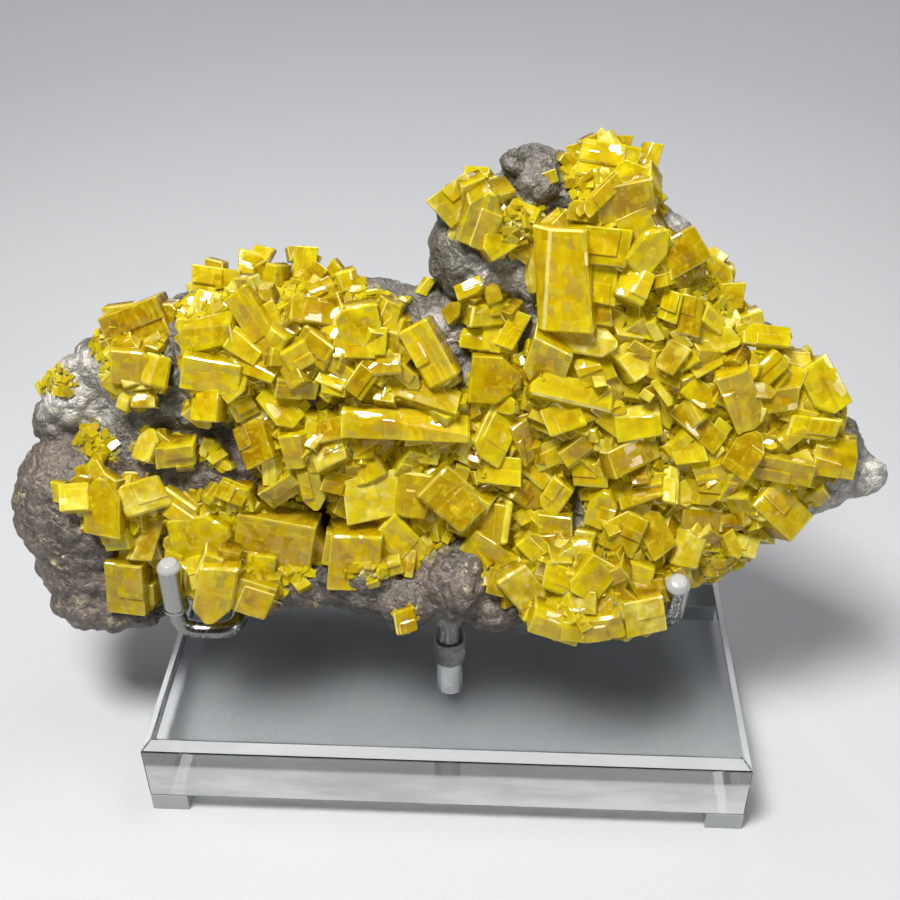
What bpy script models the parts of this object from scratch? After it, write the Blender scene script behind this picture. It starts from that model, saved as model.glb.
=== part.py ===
"""Yellow baryte crystals on a lumpy grey-brown matrix rock, held up on an acrylic and steel
display stand.

The rock is one leaning slab of grown-together lumps. Its crystals sit on the front in separate
groups, each group one solid of intergrown crystals on its own thin crust. The stand is a clear
block on four clear feet, a steel post with a hub hidden under the rock, two bent steel arms that
end in sleeved prongs in front of the rock, and a sleeved rest behind it.

Metres, +Z up, +X to the right as seen from the front, -Y towards the viewer. Rows of lumps and
crystals are in millimetres on the leaning face: along it, up it and out of it.
"""

import math
import random

import bmesh
import bpy
from mathutils import Matrix, Vector, noise

MM = 0.001

# Gap kept between pieces that touch. Copies moved outwards by their normals take a little more,
# and so do round cutters with few facets.
GAP = 0.0003
OFFSET_GAP = 1.2 * GAP
FACETED_GAP = 1.3 * GAP

# Clear block and its feet.
BLOCK_LENGTH = 0.200
BLOCK_DEPTH = 0.100
BLOCK_HEIGHT = 0.025
BLOCK_CHAMFER = 0.0032
FOOT_SIDE = 0.0125
FOOT_HEIGHT = 0.0075
BLOCK_BOTTOM = FOOT_HEIGHT
BLOCK_TOP = BLOCK_BOTTOM + BLOCK_HEIGHT

# Post, its foot sleeve and the hub on its top.
POST_Y = -0.006
POST_DIAMETER = 0.0088
POST_BOTTOM = 0.009
POST_TOP = 0.0535
SLEEVE_WALL = 0.0008
POST_SLEEVE_HEIGHT = 0.0095
HUB_DIAMETER = 0.016
HUB_HEIGHT = 0.008

# Bent arms, their sleeves and the rest behind.
ROD_DIAMETER = 0.0055
ROD_BEND = 0.007
ROD_HEIGHT = 0.0585
TIP_SLEEVE_LENGTH = 0.020
TIP_SLEEVE_END = 0.0016
TIP_SLEEVE_DIAMETER = 0.0078
LEFT_PRONG = Vector((-0.0888, -0.0220, 0.0883))
LEFT_ARM_IN = -0.070
RIGHT_PRONG = Vector((0.0733, -0.0225, 0.0862))
RIGHT_PRONG_TILT = math.radians(20)
REST_TIP = Vector((0.002, 0.0470, 0.118))

# Leaning face of the rock: where its foot stands, and how far it leans back.
LEAN = math.radians(15)
FACE_FOOT = Vector((0, -0.020, 0.060))

# Coarseness of the rock, and thickness of the crust that a group of crystals stands on. The crust
# stays on the front: its lowest and highest level out of the face are in millimetres.
ROCK_VOXEL = 0.0028
ROCK_TRIANGLES = 1200
ROCK_GRAIN = 0.0011
CRUST = 0.0022
CRUST_TRIANGLES = 480
CRUST_LOW = -22
CRUST_HIGH = 32

# Crystals sit this share of their depth above the rock, and keep this share of the triangles
# that joining them makes. Corners closer than the weld are one.
CRYSTAL_STAND = 0.2
GROUP_SHARE = 0.57
WELD = 0.00003
FINE_WELD = 0.00001

# Where a viewer stands, in millimetres on the leaning face: along, up and out. Rows of lumps and
# crystals give the places that this viewer sees on a sheet this far out of the face, and each
# lump or crystal then lies deeper or nearer on its own sight line.
VIEWER = (18, 204, 357)
LUMP_SHEET = 0
CRYSTAL_SHEET = 10
CRUST_SEEN = -5

# Main lumps of the rock: along, up, out, then the three half-widths the same way.
LUMPS = (
    (-115, 42, -20, 24, 27, 22),
    (-114, 24, -20, 21, 18, 18),
    (-112, 7, -14, 20, 10, 12),
    (-114, 79, -20, 12, 11, 13),
    (-122, 71, -22, 9, 8, 10),
    (-103, 89, -22, 13, 11, 14),
    (-90, 86, -22, 22, 22, 18),
    (-70, 92, -22, 24, 22, 20),
    (-46, 96, -22, 26, 21, 20),
    (-22, 98, -22, 22, 20, 19),
    (-96, 60, -22, 22, 24, 18),
    (-70, 62, -24, 24, 28, 20),
    (-38, 70, -24, 28, 26, 20),
    (-44, 38, -38, 24, 22, 20),
    (-78, 34, -20, 22, 16, 16),
    (-78, 18, -8, 16, 10, 9),
    (-52, 16, -8, 26, 9, 9),
    (-26, 16, -6, 20, 10, 9),
    (-12, 11, -3, 13, 10, 10),
    (3, 18, -4, 14, 14, 12),
    (16, 10, -4, 13, 9, 10),
    (-18, 42, -26, 22, 20, 17),
    (6, 60, -22, 26, 28, 17),
    (-2, 86, -22, 22, 22, 17),
    (-2, 103, -25, 18, 13, 16),
    (8, 126, -21, 14, 16, 17),
    (11, 138, -22, 15, 11, 16),
    (26, 147, -22, 11, 10, 14),
    (18, 152, -14, 4, 4, 5),
    (27, 126, -24, 18, 19, 17),
    (44, 143, -22, 15, 13, 17),
    (54, 124, -22, 20, 18, 19),
    (22, 106, -26, 16, 14, 17),
    (36, 88, -22, 26, 26, 19),
    (63, 106, -22, 21, 20, 19),
    (82, 90, -22, 22, 20, 19),
    (60, 70, -22, 28, 28, 19),
    (88, 66, -22, 24, 26, 19),
    (105, 78, -20, 14, 17, 14),
    (116, 66, -16, 13, 12, 7),
    (124, 58, -15, 13, 8, 5),
    (112, 55, -16, 14, 10, 7),
    (30, 44, -23, 24, 24, 18),
    (56, 42, -22, 26, 22, 19),
    (46, 10, 2, 19, 12, 10),
    (60, 18, -5, 12, 11, 10),
    (40, 24, -6, 22, 14, 12),
    (80, 38, -18, 17, 15, 14),
    (98, 50, -20, 13, 9, 11),
)
# The thick back of the slab.
BACK_LUMPS = (
    (-92, 66, -34, 28, 32, 16),
    (-56, 66, -40, 34, 34, 18),
    (-10, 70, -42, 34, 34, 18),
    (38, 74, -42, 32, 36, 18),
    (72, 68, -36, 28, 32, 16),
    (34, 116, -36, 22, 24, 14),
)
# The broken underside that sits on the arms: its level, where it starts and its half-length.
UNDERSIDE = 0.0616
UNDERSIDE_FRONT = -0.013
UNDERSIDE_HALF = 0.082

# Small botryoidal lumps, scattered over the main ones.
PIMPLES = 60
PIMPLE_SIZES = (3.5, 7.5)
PIMPLE_SEED = 5

# Crystals: along, up, length, width, depth, turn on the face, nod towards the light, lean aside.
LEFT_EDGE = (
    (-90.5, 104.5, 21, 11, 8, 30, 10, -5),
    (-93, 93, 15, 11, 9, -10, 5, 12),
    (-98.5, 88.5, 9, 7, 7, 45, -8, -15),
    (-87, 91, 10, 8, 8, 80, 0, 18),
    (-96.5, 82.5, 8, 4, 6, 75, 12, 0),
    (-91, 81.5, 8, 5, 6, 0, 18, 5),
)
LEFT_MASS = (
    (-66, 117.5, 16, 11, 6, -8, 14, -4),
    (-55, 123, 11, 9, 6, -12, 8, 4),
    (-70.5, 110.5, 11, 8, 7, 70, 16, 8),
    (-69.5, 103.5, 18, 10, 9, 15, 4, -8),
    (-54.5, 106, 25, 9, 8, -57, 4, -12),
    (-48.5, 118.5, 14, 7, 7, 85, 6, -20),
    (-41, 124, 12, 7, 6, 80, 4, 16),
    (-28, 118, 11, 7, 7, -75, -4, 14),
    (-39.5, 110, 14, 9, 9, 5, 8, 6),
    (-31.5, 107, 11, 6, 6, 60, 12, -10),
    (-25.5, 107, 13, 12, 10, 10, 2, 8),
    (-16.5, 110, 10, 8, 8, 75, 10, -6),
    (-38, 99.5, 12, 9, 8, -35, -6, -10),
    (-27, 98.5, 13, 6, 7, 0, 14, 0),
    (-24.5, 90.5, 12, 7, 9, 55, -10, 14),
    (-19.5, 94, 14, 7, 8, 5, 6, -10),
    (-70, 91, 18, 11, 9, -12, 8, 6),
    (-71, 82, 13, 9, 10, 85, -4, -8),
    (-62, 80.5, 8, 7, 7, 20, 8, 14),
    (-57, 92.5, 15, 6, 7, -18, 10, -8),
    (-45, 87, 13, 6, 7, -8, -8, 8),
    (-50, 80, 15, 9, 9, -50, 6, 10),
    (-56.5, 69, 14, 11, 10, -70, 2, -10),
    (-45.5, 68, 12, 9, 10, -80, -4, 12),
    (-52, 62, 13, 5, 8, 90, 4, -6),
    (-50.5, 55.5, 14, 8, 9, 35, -10, 4),
    (-35.5, 72.5, 12, 7, 7, 12, 8, -8),
    (-25, 72, 10, 8, 9, 40, -6, 10),
    (-34.5, 65, 11, 8, 8, 25, 16, 6),
    (-40.5, 54.5, 14, 7, 8, -80, -4, -12),
    (-32.5, 56, 12, 7, 8, -15, 6, 14),
    (-12, 76.5, 40, 9, 11, -2, 2, 3),
    (-9, 85, 28, 8, 7, -16, 24, 0),
    (-13, 93, 15, 5, 6, -45, 6, -14),
    (-23, 78.5, 16, 6, 9, -4, 10, -6),
    (-60, 99, 11, 8, 8, -30, 12, 16),
    (-44, 97, 9, 8, 8, 30, -8, 18),
    (-63, 87, 10, 7, 8, 40, 12, -12),
    (-33, 90, 9, 8, 7, -20, 18, -12),
    (-36, 116.5, 9, 7, 7, 30, 10, 10),
)
SADDLE_BLADE = (
    (-4.5, 98.5, 20, 10, 9, -60, 4, -10),
)
ON_DOME = (
    (-117, 48.5, 14, 9, 8, 4, 14, -12),
    (-106, 47, 19, 12, 11, 88, 2, -6),
    (-94.5, 50, 15, 11, 9, 18, 10, 10),
    (-95, 36, 16, 8, 8, 75, 14, 8),
    (-100.5, 19.5, 19, 11, 10, 86, -6, -12),
    (-112, 55, 7, 6, 6, 30, 10, 10),
    (-103, 36, 9, 7, 8, 10, -10, 10),
)
LEDGE_PAIR = (
    (-82.5, 65.5, 13, 8, 8, 8, -4, 6),
    (-90.5, 67, 11, 7, 8, 70, 12, -8),
)
LOWER_LEFT = (
    (-82.5, 46.5, 14, 9, 8, -30, 8, -8),
    (-76, 38, 20, 13, 9, 15, 22, -4),
    (-75, 18.5, 23, 13, 12, 86, -4, 6),
    (-61.5, 28, 12, 9, 8, 15, 18, 8),
    (-62.5, 16.5, 12, 10, 9, -15, -8, 10),
    (-54.5, 34, 32, 25, 11, 80, 0, -4),
    (-46.5, 41, 10, 7, 12, 70, 6, -8),
    (-83.5, 22.5, 12, 6, 8, 80, 4, -14),
    (-65.5, 52, 10, 7, 7, -20, 14, 0),
    (-62, 45, 14, 7, 7, -8, 16, 8),
    (-69, 28, 12, 9, 9, -40, 10, -14),
)
LOWER_MIDDLE = (
    (-23, 52.5, 18, 15, 13, 12, 8, -8),
    (-28, 31, 21, 16, 11, 80, -4, -6),
    (-13, 36, 22, 11, 10, -50, 4, 10),
    (-16.5, 29.5, 9, 7, 9, 20, 14, -6),
    (-9, 53, 15, 12, 10, 80, 0, -10),
    (1.5, 52, 19, 14, 12, -40, 12, 8),
    (-10, 65, 12, 9, 8, 60, -12, 10),
    (-23, 63, 12, 8, 8, -60, -10, -8),
)
CENTRE_RING = (
    (12, 110.5, 14, 7, 8, 0, 10, 4),
    (7.5, 117, 9, 5, 6, 18, 16, -4),
    (13, 116, 6, 5, 6, -70, 10, 8),
    (11, 102.5, 13, 6, 8, -6, -6, -4),
    (19.5, 105.5, 12, 6, 7, 62, 14, 10),
    (3, 111, 7, 5, 6, 40, 8, -12),
)
PEAK_PAIR = (
    (4.5, 143, 15, 11, 10, 35, 16, -14),
    (9.5, 139.5, 18, 11, 11, 72, -2, 8),
    (16.5, 132.5, 17, 8, 7, 33, 14, 6),
    (29, 137, 9, 4, 5, 38, 10, 0),
    (21.5, 139.5, 9, 5, 5, -20, 12, 10),
)
RIGHT_MASS = (
    (45, 153, 18, 11, 11, -10, 10, 4),
    (41, 159, 9, 6, 7, 88, 4, -8),
    (47.5, 157.5, 8, 5, 6, 80, 0, 10),
    (55.5, 154.5, 10, 6, 6, 75, 4, 18),
    (50, 144.5, 17, 11, 11, 15, 6, 8),
    (51.5, 138.5, 13, 10, 9, 28, -10, -6),
    (43, 145, 14, 5, 9, 45, 8, -16),
    (33.5, 121.5, 31, 13, 14, 97, 0, -14),
    (45.5, 130.5, 14, 11, 11, -5, 12, -2),
    (56.5, 130.5, 15, 10, 10, 50, -4, 8),
    (45.5, 119, 11, 7, 9, 88, 8, -8),
    (52.5, 119, 10, 9, 10, 70, 10, 6),
    (43, 111.5, 18, 9, 10, -30, 4, 8),
    (40, 102.5, 23, 9, 11, -10, 22, -4),
    (30, 97.5, 15, 13, 11, 75, -4, -6),
    (43, 94.5, 11, 9, 8, 20, -10, 8),
    (53.5, 96.5, 12, 9, 10, -50, 12, 6),
    (14.5, 91, 16, 15, 11, -3, 2, -4),
    (36.5, 86.5, 26, 8, 9, -10, 12, 0),
    (64.5, 113.5, 9, 6, 8, 80, 8, -8),
    (66, 129, 14, 11, 10, 30, 4, 14),
    (76, 123.5, 12, 8, 8, -35, 8, 8),
    (79, 116.5, 12, 8, 8, 5, -6, 12),
    (85, 112, 8, 6, 6, -30, 14, 18),
    (70, 110.5, 12, 7, 8, 85, 4, -10),
    (77.5, 104, 15, 8, 8, -10, 20, 4),
    (90.5, 104, 16, 7, 9, 3, 10, 6),
    (100.5, 97.5, 10, 7, 8, -5, 14, 10),
    (101, 91.5, 9, 7, 9, 70, -6, -6),
    (109, 89.5, 17, 11, 11, -60, 0, 16),
    (96.5, 86, 13, 7, 8, 8, 14, -8),
    (87, 87, 21, 10, 10, -65, -4, 4),
    (93, 94.5, 13, 7, 7, 45, 6, 10),
    (74, 87, 12, 7, 8, -35, 18, -8),
    (63.5, 86, 13, 4, 8, -65, 4, 14),
    (64, 95, 11, 9, 8, -20, 10, -10),
    (76, 96.5, 11, 6, 7, 30, 16, 4),
    (108, 77.5, 15, 7, 9, -5, 8, 6),
    (74, 77, 19, 7, 8, -40, 6, 10),
    (57, 78, 14, 10, 9, 12, 10, -6),
    (55, 67.5, 17, 9, 9, 25, 4, 6),
    (89.5, 69, 15, 10, 10, 60, -4, -8),
    (101, 65, 19, 8, 9, -8, 6, 4),
    (115, 69, 14, 12, 10, -10, 4, 12),
    (100, 50.5, 20, 12, 10, -38, 4, 8),
    (97, 43, 9, 8, 8, 85, 16, 6),
    (90.5, 38, 11, 7, 8, -12, 12, -6),
    (87.5, 47, 10, 6, 7, 0, -8, 4),
    (78, 48, 13, 8, 8, -5, -6, 10),
    (79, 56, 12, 8, 8, 0, 12, -6),
    (86, 60, 12, 7, 8, 70, -8, 12),
    (60, 55, 16, 7, 8, 20, 10, -4),
    (68, 57.5, 12, 5, 8, 88, 6, 0),
    (55, 43, 14, 12, 10, 70, -4, -8),
    (64, 41.5, 14, 9, 9, -60, 8, 10),
    (74.5, 37.5, 13, 9, 9, 75, 16, 6),
    (61, 28.5, 9, 7, 8, -15, 8, -10),
    (77, 27, 10, 7, 8, 20, -8, 8),
    (73.5, 69, 10, 8, 8, 10, 8, -12),
    (80, 65.5, 12, 7, 8, 25, -8, 6),
    (62, 14, 13, 12, 10, 10, 10, 6),
    (53, 27, 12, 9, 9, 40, -4, -12),
    (14, 73, 17, 11, 10, 65, 8, 8),
    (23, 72.5, 14, 8, 9, -70, -4, 12),
    (35, 79, 12, 9, 9, 20, 12, -8),
    (40.5, 71, 15, 7, 8, 40, 4, 6),
    (16.5, 61.5, 14, 9, 9, -5, 14, 4),
    (27, 62, 13, 7, 8, -40, 10, -8),
    (31, 68, 10, 8, 8, 30, -8, 8),
    (24.5, 53.5, 12, 8, 8, -35, 8, 8),
    (34, 54, 11, 8, 9, 60, -4, -10),
    (15, 44.5, 13, 11, 9, 85, 4, -4),
    (34, 44.5, 11, 7, 8, -3, 12, 6),
    (17, 33, 24, 9, 9, -32, 10, 4),
    (28, 36, 11, 8, 8, -45, -4, 10),
    (40, 36, 13, 8, 8, 5, 16, -6),
    (25.5, 20.5, 20, 11, 9, -52, 8, 6),
    (36, 25, 11, 9, 8, -20, 12, -10),
    (45, 26.5, 14, 11, 10, 50, -4, 8),
    (35, 10, 17, 9, 9, -22, -4, -6),
    (50, 10, 13, 9, 9, 15, 4, 8),
    (48.5, 51, 13, 9, 10, 80, 2, -10),
    (44, 61.5, 11, 8, 8, 0, 12, 10),
)
LOWER_EDGE = (
    (-13, 9, 8, 7, 8, -80, 4, -8),
)

# Reach of each group's crust on the face, as an outline of along and up.
MAIN_OUTLINE = (
    (-78, 110), (-79, 80), (-70, 76), (-62, 74), (-60, 62), (-54, 53), (-42, 49), (-36, 60), (-37, 24), (-22, 23),
    (-6, 32), (6, 40), (12, 28), (22, 14), (34, 4), (60, 5), (72, 18), (82, 24), (100, 38), (110, 50),
    (114, 60), (121, 72), (112, 92), (98, 103), (86, 112), (78, 124), (62, 136), (58, 152), (40, 158), (32, 152),
    (38, 142), (30, 132), (27, 112), (24, 98), (8, 98), (5, 88), (-8, 90), (-14, 100), (-12, 112), (-28, 122),
    (-50, 124), (-66, 120),
)  # fmt: skip
GROUPS = (
    (
        "crystals_left_edge",
        LEFT_EDGE,
        ((-105, 96), (-101, 84), (-92, 79), (-84, 87), (-82, 108), (-97, 108)),
    ),
    (
        "crystals_on_dome",
        ON_DOME,
        ((-122, 50), (-112, 38), (-104, 12), (-95, 14), (-90, 40), (-90, 54), (-112, 58)),
    ),
    (
        "crystals_on_ledge",
        LEDGE_PAIR,
        ((-94, 62), (-77, 61), (-77, 69), (-94, 72)),
    ),
    (
        "crystals_lower_left",
        LOWER_LEFT,
        ((-87, 46), (-85, 18), (-74, 10), (-58, 14), (-44, 24), (-46, 46), (-66, 55)),
    ),
    (
        "crystal_in_saddle",
        SADDLE_BLADE,
        ((-10, 103), (-4, 91), (2, 94), (-4, 106)),
    ),
    (
        "crystals_centre",
        CENTRE_RING,
        ((1, 109), (6, 101), (18, 100), (23, 108), (13, 118), (4, 117)),
    ),
    (
        "crystals_on_peak",
        PEAK_PAIR,
        ((-1, 140), (8, 131), (24, 128), (33, 136), (22, 143), (8, 149)),
    ),
    (
        "crystal_lower_edge",
        LOWER_EDGE,
        ((-16, 12), (-16, 7), (-10, 7), (-10, 12)),
    ),
    (
        "crystals_main",
        LEFT_MASS + LOWER_MIDDLE + RIGHT_MASS,
        MAIN_OUTLINE,
    ),
)


def clear_scene():
    for thing in list(bpy.data.objects):
        bpy.data.objects.remove(thing)


def new_collection(name):
    made = bpy.data.collections.new(name)
    bpy.context.scene.collection.children.link(made)
    return made


def material(name, colour, roughness, metallic=0.0):
    made = bpy.data.materials.new(name)
    made.use_nodes = True
    shader = made.node_tree.nodes["Principled BSDF"]
    shader.inputs["Base Color"].default_value = (*colour, 1)
    shader.inputs["Roughness"].default_value = roughness
    shader.inputs["Metallic"].default_value = metallic
    return made


def mesh_object(name, bm, collection, finish=None):
    """Wraps a finished bmesh in an object of its own."""
    mesh = bpy.data.meshes.new(name)
    bm.to_mesh(mesh)
    bm.free()
    made = bpy.data.objects.new(name, mesh)
    collection.objects.link(made)
    if finish:
        mesh.materials.append(finish)
    return made


def curve_mesh(name, curve, collection, weld):
    """The curve's surface as one closed mesh."""
    shape = bpy.data.objects.new(name + "_curve", curve)
    collection.objects.link(shape)
    graph = bpy.context.evaluated_depsgraph_get()
    bm = bmesh.new()
    bm.from_mesh(shape.evaluated_get(graph).to_mesh())
    bpy.data.objects.remove(shape)
    bmesh.ops.remove_doubles(bm, verts=bm.verts[:], dist=weld)
    return bm


def as_helper(thing):
    thing.hide_render = True
    thing.display_type = "WIRE"
    return thing


def applied(thing):
    """Turns the object's modifiers into its mesh."""
    graph = bpy.context.evaluated_depsgraph_get()
    baked = bpy.data.meshes.new_from_object(thing.evaluated_get(graph))
    old = thing.data
    thing.modifiers.clear()
    thing.data = baked
    if isinstance(old, bpy.types.Mesh):
        bpy.data.meshes.remove(old)
    return thing


def joined(thing, others, operation, solver="EXACT"):
    """Applies a Boolean of the object with every other one in turn. EXACT leaves the inside of a
    crust that wraps the whole rock, so those cuts use MANIFOLD."""
    for other in others:
        step = thing.modifiers.new(operation.title(), "BOOLEAN")
        step.operation = operation
        step.object = other
        step.solver = solver
    return applied(thing)


def tidy(thing, weld=WELD):
    """Welds the near-double corners that a Boolean leaves, takes away lone fins, and keeps the
    largest closed shell. MANIFOLD leaves none to weld."""
    bm = bmesh.new()
    bm.from_mesh(thing.data)
    if weld:
        bmesh.ops.remove_doubles(bm, verts=bm.verts[:], dist=weld)
        bmesh.ops.dissolve_degenerate(bm, edges=bm.edges[:], dist=weld)
    bmesh.ops.triangulate(bm, faces=bm.faces[:])
    fins = [face for face in bm.faces if sum(edge.is_boundary for edge in face.edges) > 1]
    bmesh.ops.delete(bm, geom=fins, context="FACES")
    shells = shells_of(bm)
    keep = max(shells, key=len)
    loose = [face for shell in shells if shell is not keep for face in shell]
    bmesh.ops.delete(bm, geom=loose, context="FACES")
    bmesh.ops.delete(bm, geom=[v for v in bm.verts if not v.link_faces], context="VERTS")
    bm.to_mesh(thing.data)
    bm.free()
    return thing


def shells_of(bm):
    """Groups of faces that hang together."""
    left = set(bm.faces)
    shells = []
    while left:
        reached = [left.pop()]
        shell = set(reached)
        while reached:
            for edge in reached.pop().edges:
                for face in edge.link_faces:
                    if face in left:
                        left.discard(face)
                        shell.add(face)
                        reached.append(face)
        shells.append(shell)
    return shells


# The leaning face


FACE = Matrix.Translation(FACE_FOOT) @ Matrix.Rotation(math.pi / 2 - LEAN, 4, "X") @ Matrix.Scale(MM, 4)


def on_sight_line(along, up, out, sheet):
    """Where the viewer's line through a place on the sheet reaches this far out."""
    share = (VIEWER[2] - out) / (VIEWER[2] - sheet)
    return VIEWER[0] + (along - VIEWER[0]) * share, VIEWER[1] + (up - VIEWER[1]) * share


def placed(rows):
    """The lumps at their true places and sizes."""
    for along, up, out, half_s, half_t, half_n in rows:
        share = (VIEWER[2] - out) / (VIEWER[2] - LUMP_SHEET)
        yield *on_sight_line(along, up, out, LUMP_SHEET), out, half_s * share, half_t * share, half_n


FRONT = tuple(placed(LUMPS))
BACK = tuple(placed(BACK_LUMPS))


def rock_front(along, up):
    """How far out the main lumps stand at a place on the face, in millimetres."""
    front = -30.0
    for place_s, place_t, out, half_s, half_t, half_n in FRONT:
        inside = 1 - ((along - place_s) / half_s) ** 2 - ((up - place_t) / half_t) ** 2
        if inside > 0:
            front = max(front, out + half_n * math.sqrt(inside))
    return front


def seat(along, up, reach=5):
    """The rock's height where a crystal stands, evened over its neighbourhood."""
    steps = (-reach, 0, reach)
    return sum(rock_front(along + s, up + t) for s in steps for t in steps) / 9


# The matrix rock


def pimples():
    """Small round lumps half sunk in the main ones, always the same."""
    draw = random.Random(PIMPLE_SEED)
    for _ in range(PIMPLES):
        along, up, out, *halves = draw.choice(FRONT[:30] + BACK)
        way = Vector((draw.gauss(0, 1), draw.gauss(0, 1), draw.gauss(0, 1))).normalized()
        size = draw.uniform(*PIMPLE_SIZES)
        sunk = 1 - 0.35 * size / max(halves)
        centre = [c + w * h * sunk for c, w, h in zip((along, up, out), way, halves)]
        if centre[1] > 12:
            yield (*centre, size, size, size)


def lump_mesh(rows, grown=0.0):
    """Every lump as a ball stretched and laid on the face, still overlapping."""
    bm = bmesh.new()
    for along, up, out, *halves in rows:
        size = Matrix.Diagonal((*(half + grown / MM for half in halves), 1))
        place = FACE @ Matrix.Translation((along, up, out)) @ size
        bmesh.ops.create_icosphere(bm, subdivisions=3, radius=1, matrix=place)
    return bm


def underside_cutter(name, grown):
    """Takes away what hangs below the arms behind the rock's lower lip."""
    bm = bmesh.new()
    low, far = 0.02, 0.12
    front = UNDERSIDE_FRONT + grown
    size = Matrix.Diagonal((2 * (UNDERSIDE_HALF - grown), far - front, UNDERSIDE - grown - low, 1))
    place = Matrix.Translation((0, (far + front) / 2, (UNDERSIDE - grown + low) / 2))
    bmesh.ops.create_cube(bm, size=1, matrix=place @ size)
    return as_helper(mesh_object(name, bm, bpy.data.collections["cutters"]))


def grown_rock(name, collection, grown, triangles):
    """All lumps fused into one closed skin of about this many triangles."""
    rock = mesh_object(name, lump_mesh((*FRONT, *BACK, *pimples()), grown), collection)
    fuse = rock.modifiers.new("Fuse", "REMESH")
    fuse.mode = "VOXEL"
    fuse.voxel_size = ROCK_VOXEL
    soften = rock.modifiers.new("Soften", "SMOOTH")
    soften.iterations = 2
    cut = rock.modifiers.new("Underside", "BOOLEAN")
    cut.operation = "DIFFERENCE"
    cut.object = underside_cutter(name + "_underside", grown)
    applied(rock)
    for point in rock.data.vertices:
        grain = noise.noise(point.co * 90) + 0.5 * noise.noise(point.co * 210)
        point.co += point.normal * grain * ROCK_GRAIN
    rock.data.update()
    fewer = rock.modifiers.new("Fewer", "DECIMATE")
    fewer.ratio = triangles / (2 * len(rock.data.polygons))
    return applied(rock)


def offset_copy(thing, name, collection, distance):
    """The same skin moved outwards by a distance, as a cutter that leaves that gap."""
    bm = bmesh.new()
    bm.from_mesh(thing.data)
    bm.normal_update()
    moves = [(v, v.normal * v.calc_shell_factor() * distance) for v in bm.verts]
    for point, move in moves:
        point.co += move
    return as_helper(mesh_object(name, bm, collection))


# Crystals


def cut_corner(bm, point, way):
    """Cuts off what lies beyond a plane and closes the cut with one flat face."""
    geom = bm.verts[:] + bm.edges[:] + bm.faces[:]
    cut = bmesh.ops.bisect_plane(bm, geom=geom, plane_co=point, plane_no=way, clear_outer=True)
    rim = [edge for edge in cut["geom_cut"] if isinstance(edge, bmesh.types.BMEdge)]
    if rim:
        bmesh.ops.contextual_create(bm, geom=rim)


def crystal_mesh(row, order):
    """One tabular crystal: a block with a roofed end or a cut corner, sunk into its seat."""
    along, up, length, width, depth, turn, nod, lean = row
    bm = bmesh.new()
    bmesh.ops.create_cube(bm, size=1, matrix=Matrix.Diagonal((length, width, depth, 1)))
    kind = order % 4
    if kind == 1:
        cut_corner(bm, (length * 0.5, width * 0.12, 0), (0.62, 0.78, 0))
        cut_corner(bm, (length * 0.5, -width * 0.12, 0), (0.62, -0.78, 0))
    elif kind == 2:
        cut_corner(bm, (-length * 0.32, width * 0.5, 0), (-0.7, 0.7, 0))
    elif kind == 3:
        cut_corner(bm, (0, width * 0.5, depth * 0.22), (0.1, 0.66, 0.75))
    attitude = (
        Matrix.Rotation(math.radians(-nod), 4, "X")
        @ Matrix.Rotation(math.radians(lean), 4, "Y")
        @ Matrix.Rotation(math.radians(turn), 4, "Z")
    )
    out = CRYSTAL_SHEET
    for _ in range(4):
        place = on_sight_line(along, up, out, CRYSTAL_SHEET)
        out = seat(*place) + depth * CRYSTAL_STAND
    bm.transform(FACE @ Matrix.Translation((*place, out)) @ attitude)
    bmesh.ops.recalc_face_normals(bm, faces=bm.faces[:])
    return bm


def crust_prism(name, outline, collection):
    """A straight block over a group's outline that takes in the crust on the front there."""
    curve = bpy.data.curves.new(name, "CURVE")
    curve.dimensions = "2D"
    curve.fill_mode = "BOTH"
    curve.extrude = (CRUST_HIGH - CRUST_LOW) / 2
    spline = curve.splines.new("POLY")
    spline.points.add(len(outline) - 1)
    for point, (along, up) in zip(spline.points, outline):
        point.co = (*on_sight_line(along, up, CRUST_SEEN, CRYSTAL_SHEET), 0, 1)
    spline.use_cyclic_u = True
    bm = curve_mesh(name, curve, collection, WELD / MM)
    bm.transform(FACE @ Matrix.Translation((0, 0, (CRUST_HIGH + CRUST_LOW) / 2)))
    bmesh.ops.recalc_face_normals(bm, faces=bm.faces[:])
    return as_helper(mesh_object(name + "_prism", bm, collection))


def crystal_group(name, rows, outline, skin, cutters, parts, helpers, finish):
    """Crust and crystals of one group as one solid, clear of all that is already there."""
    prism = crust_prism(name, outline, helpers)
    group = bpy.data.objects.new(name, skin.data.copy())
    parts.objects.link(group)
    joined(group, [prism], "INTERSECT")
    crystals = []
    for order, row in enumerate(rows):
        crystals.append(as_helper(mesh_object(f"{name}_{order}", crystal_mesh(row, order), helpers)))
    joined(group, crystals, "UNION")
    fewer = group.modifiers.new("Fewer", "DECIMATE")
    fewer.ratio = GROUP_SHARE
    tidy(applied(group))
    joined(group, cutters, "DIFFERENCE", "MANIFOLD")
    group.data.materials.clear()
    group.data.materials.append(finish)
    return tidy(group, weld=0)


# The stand


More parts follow.
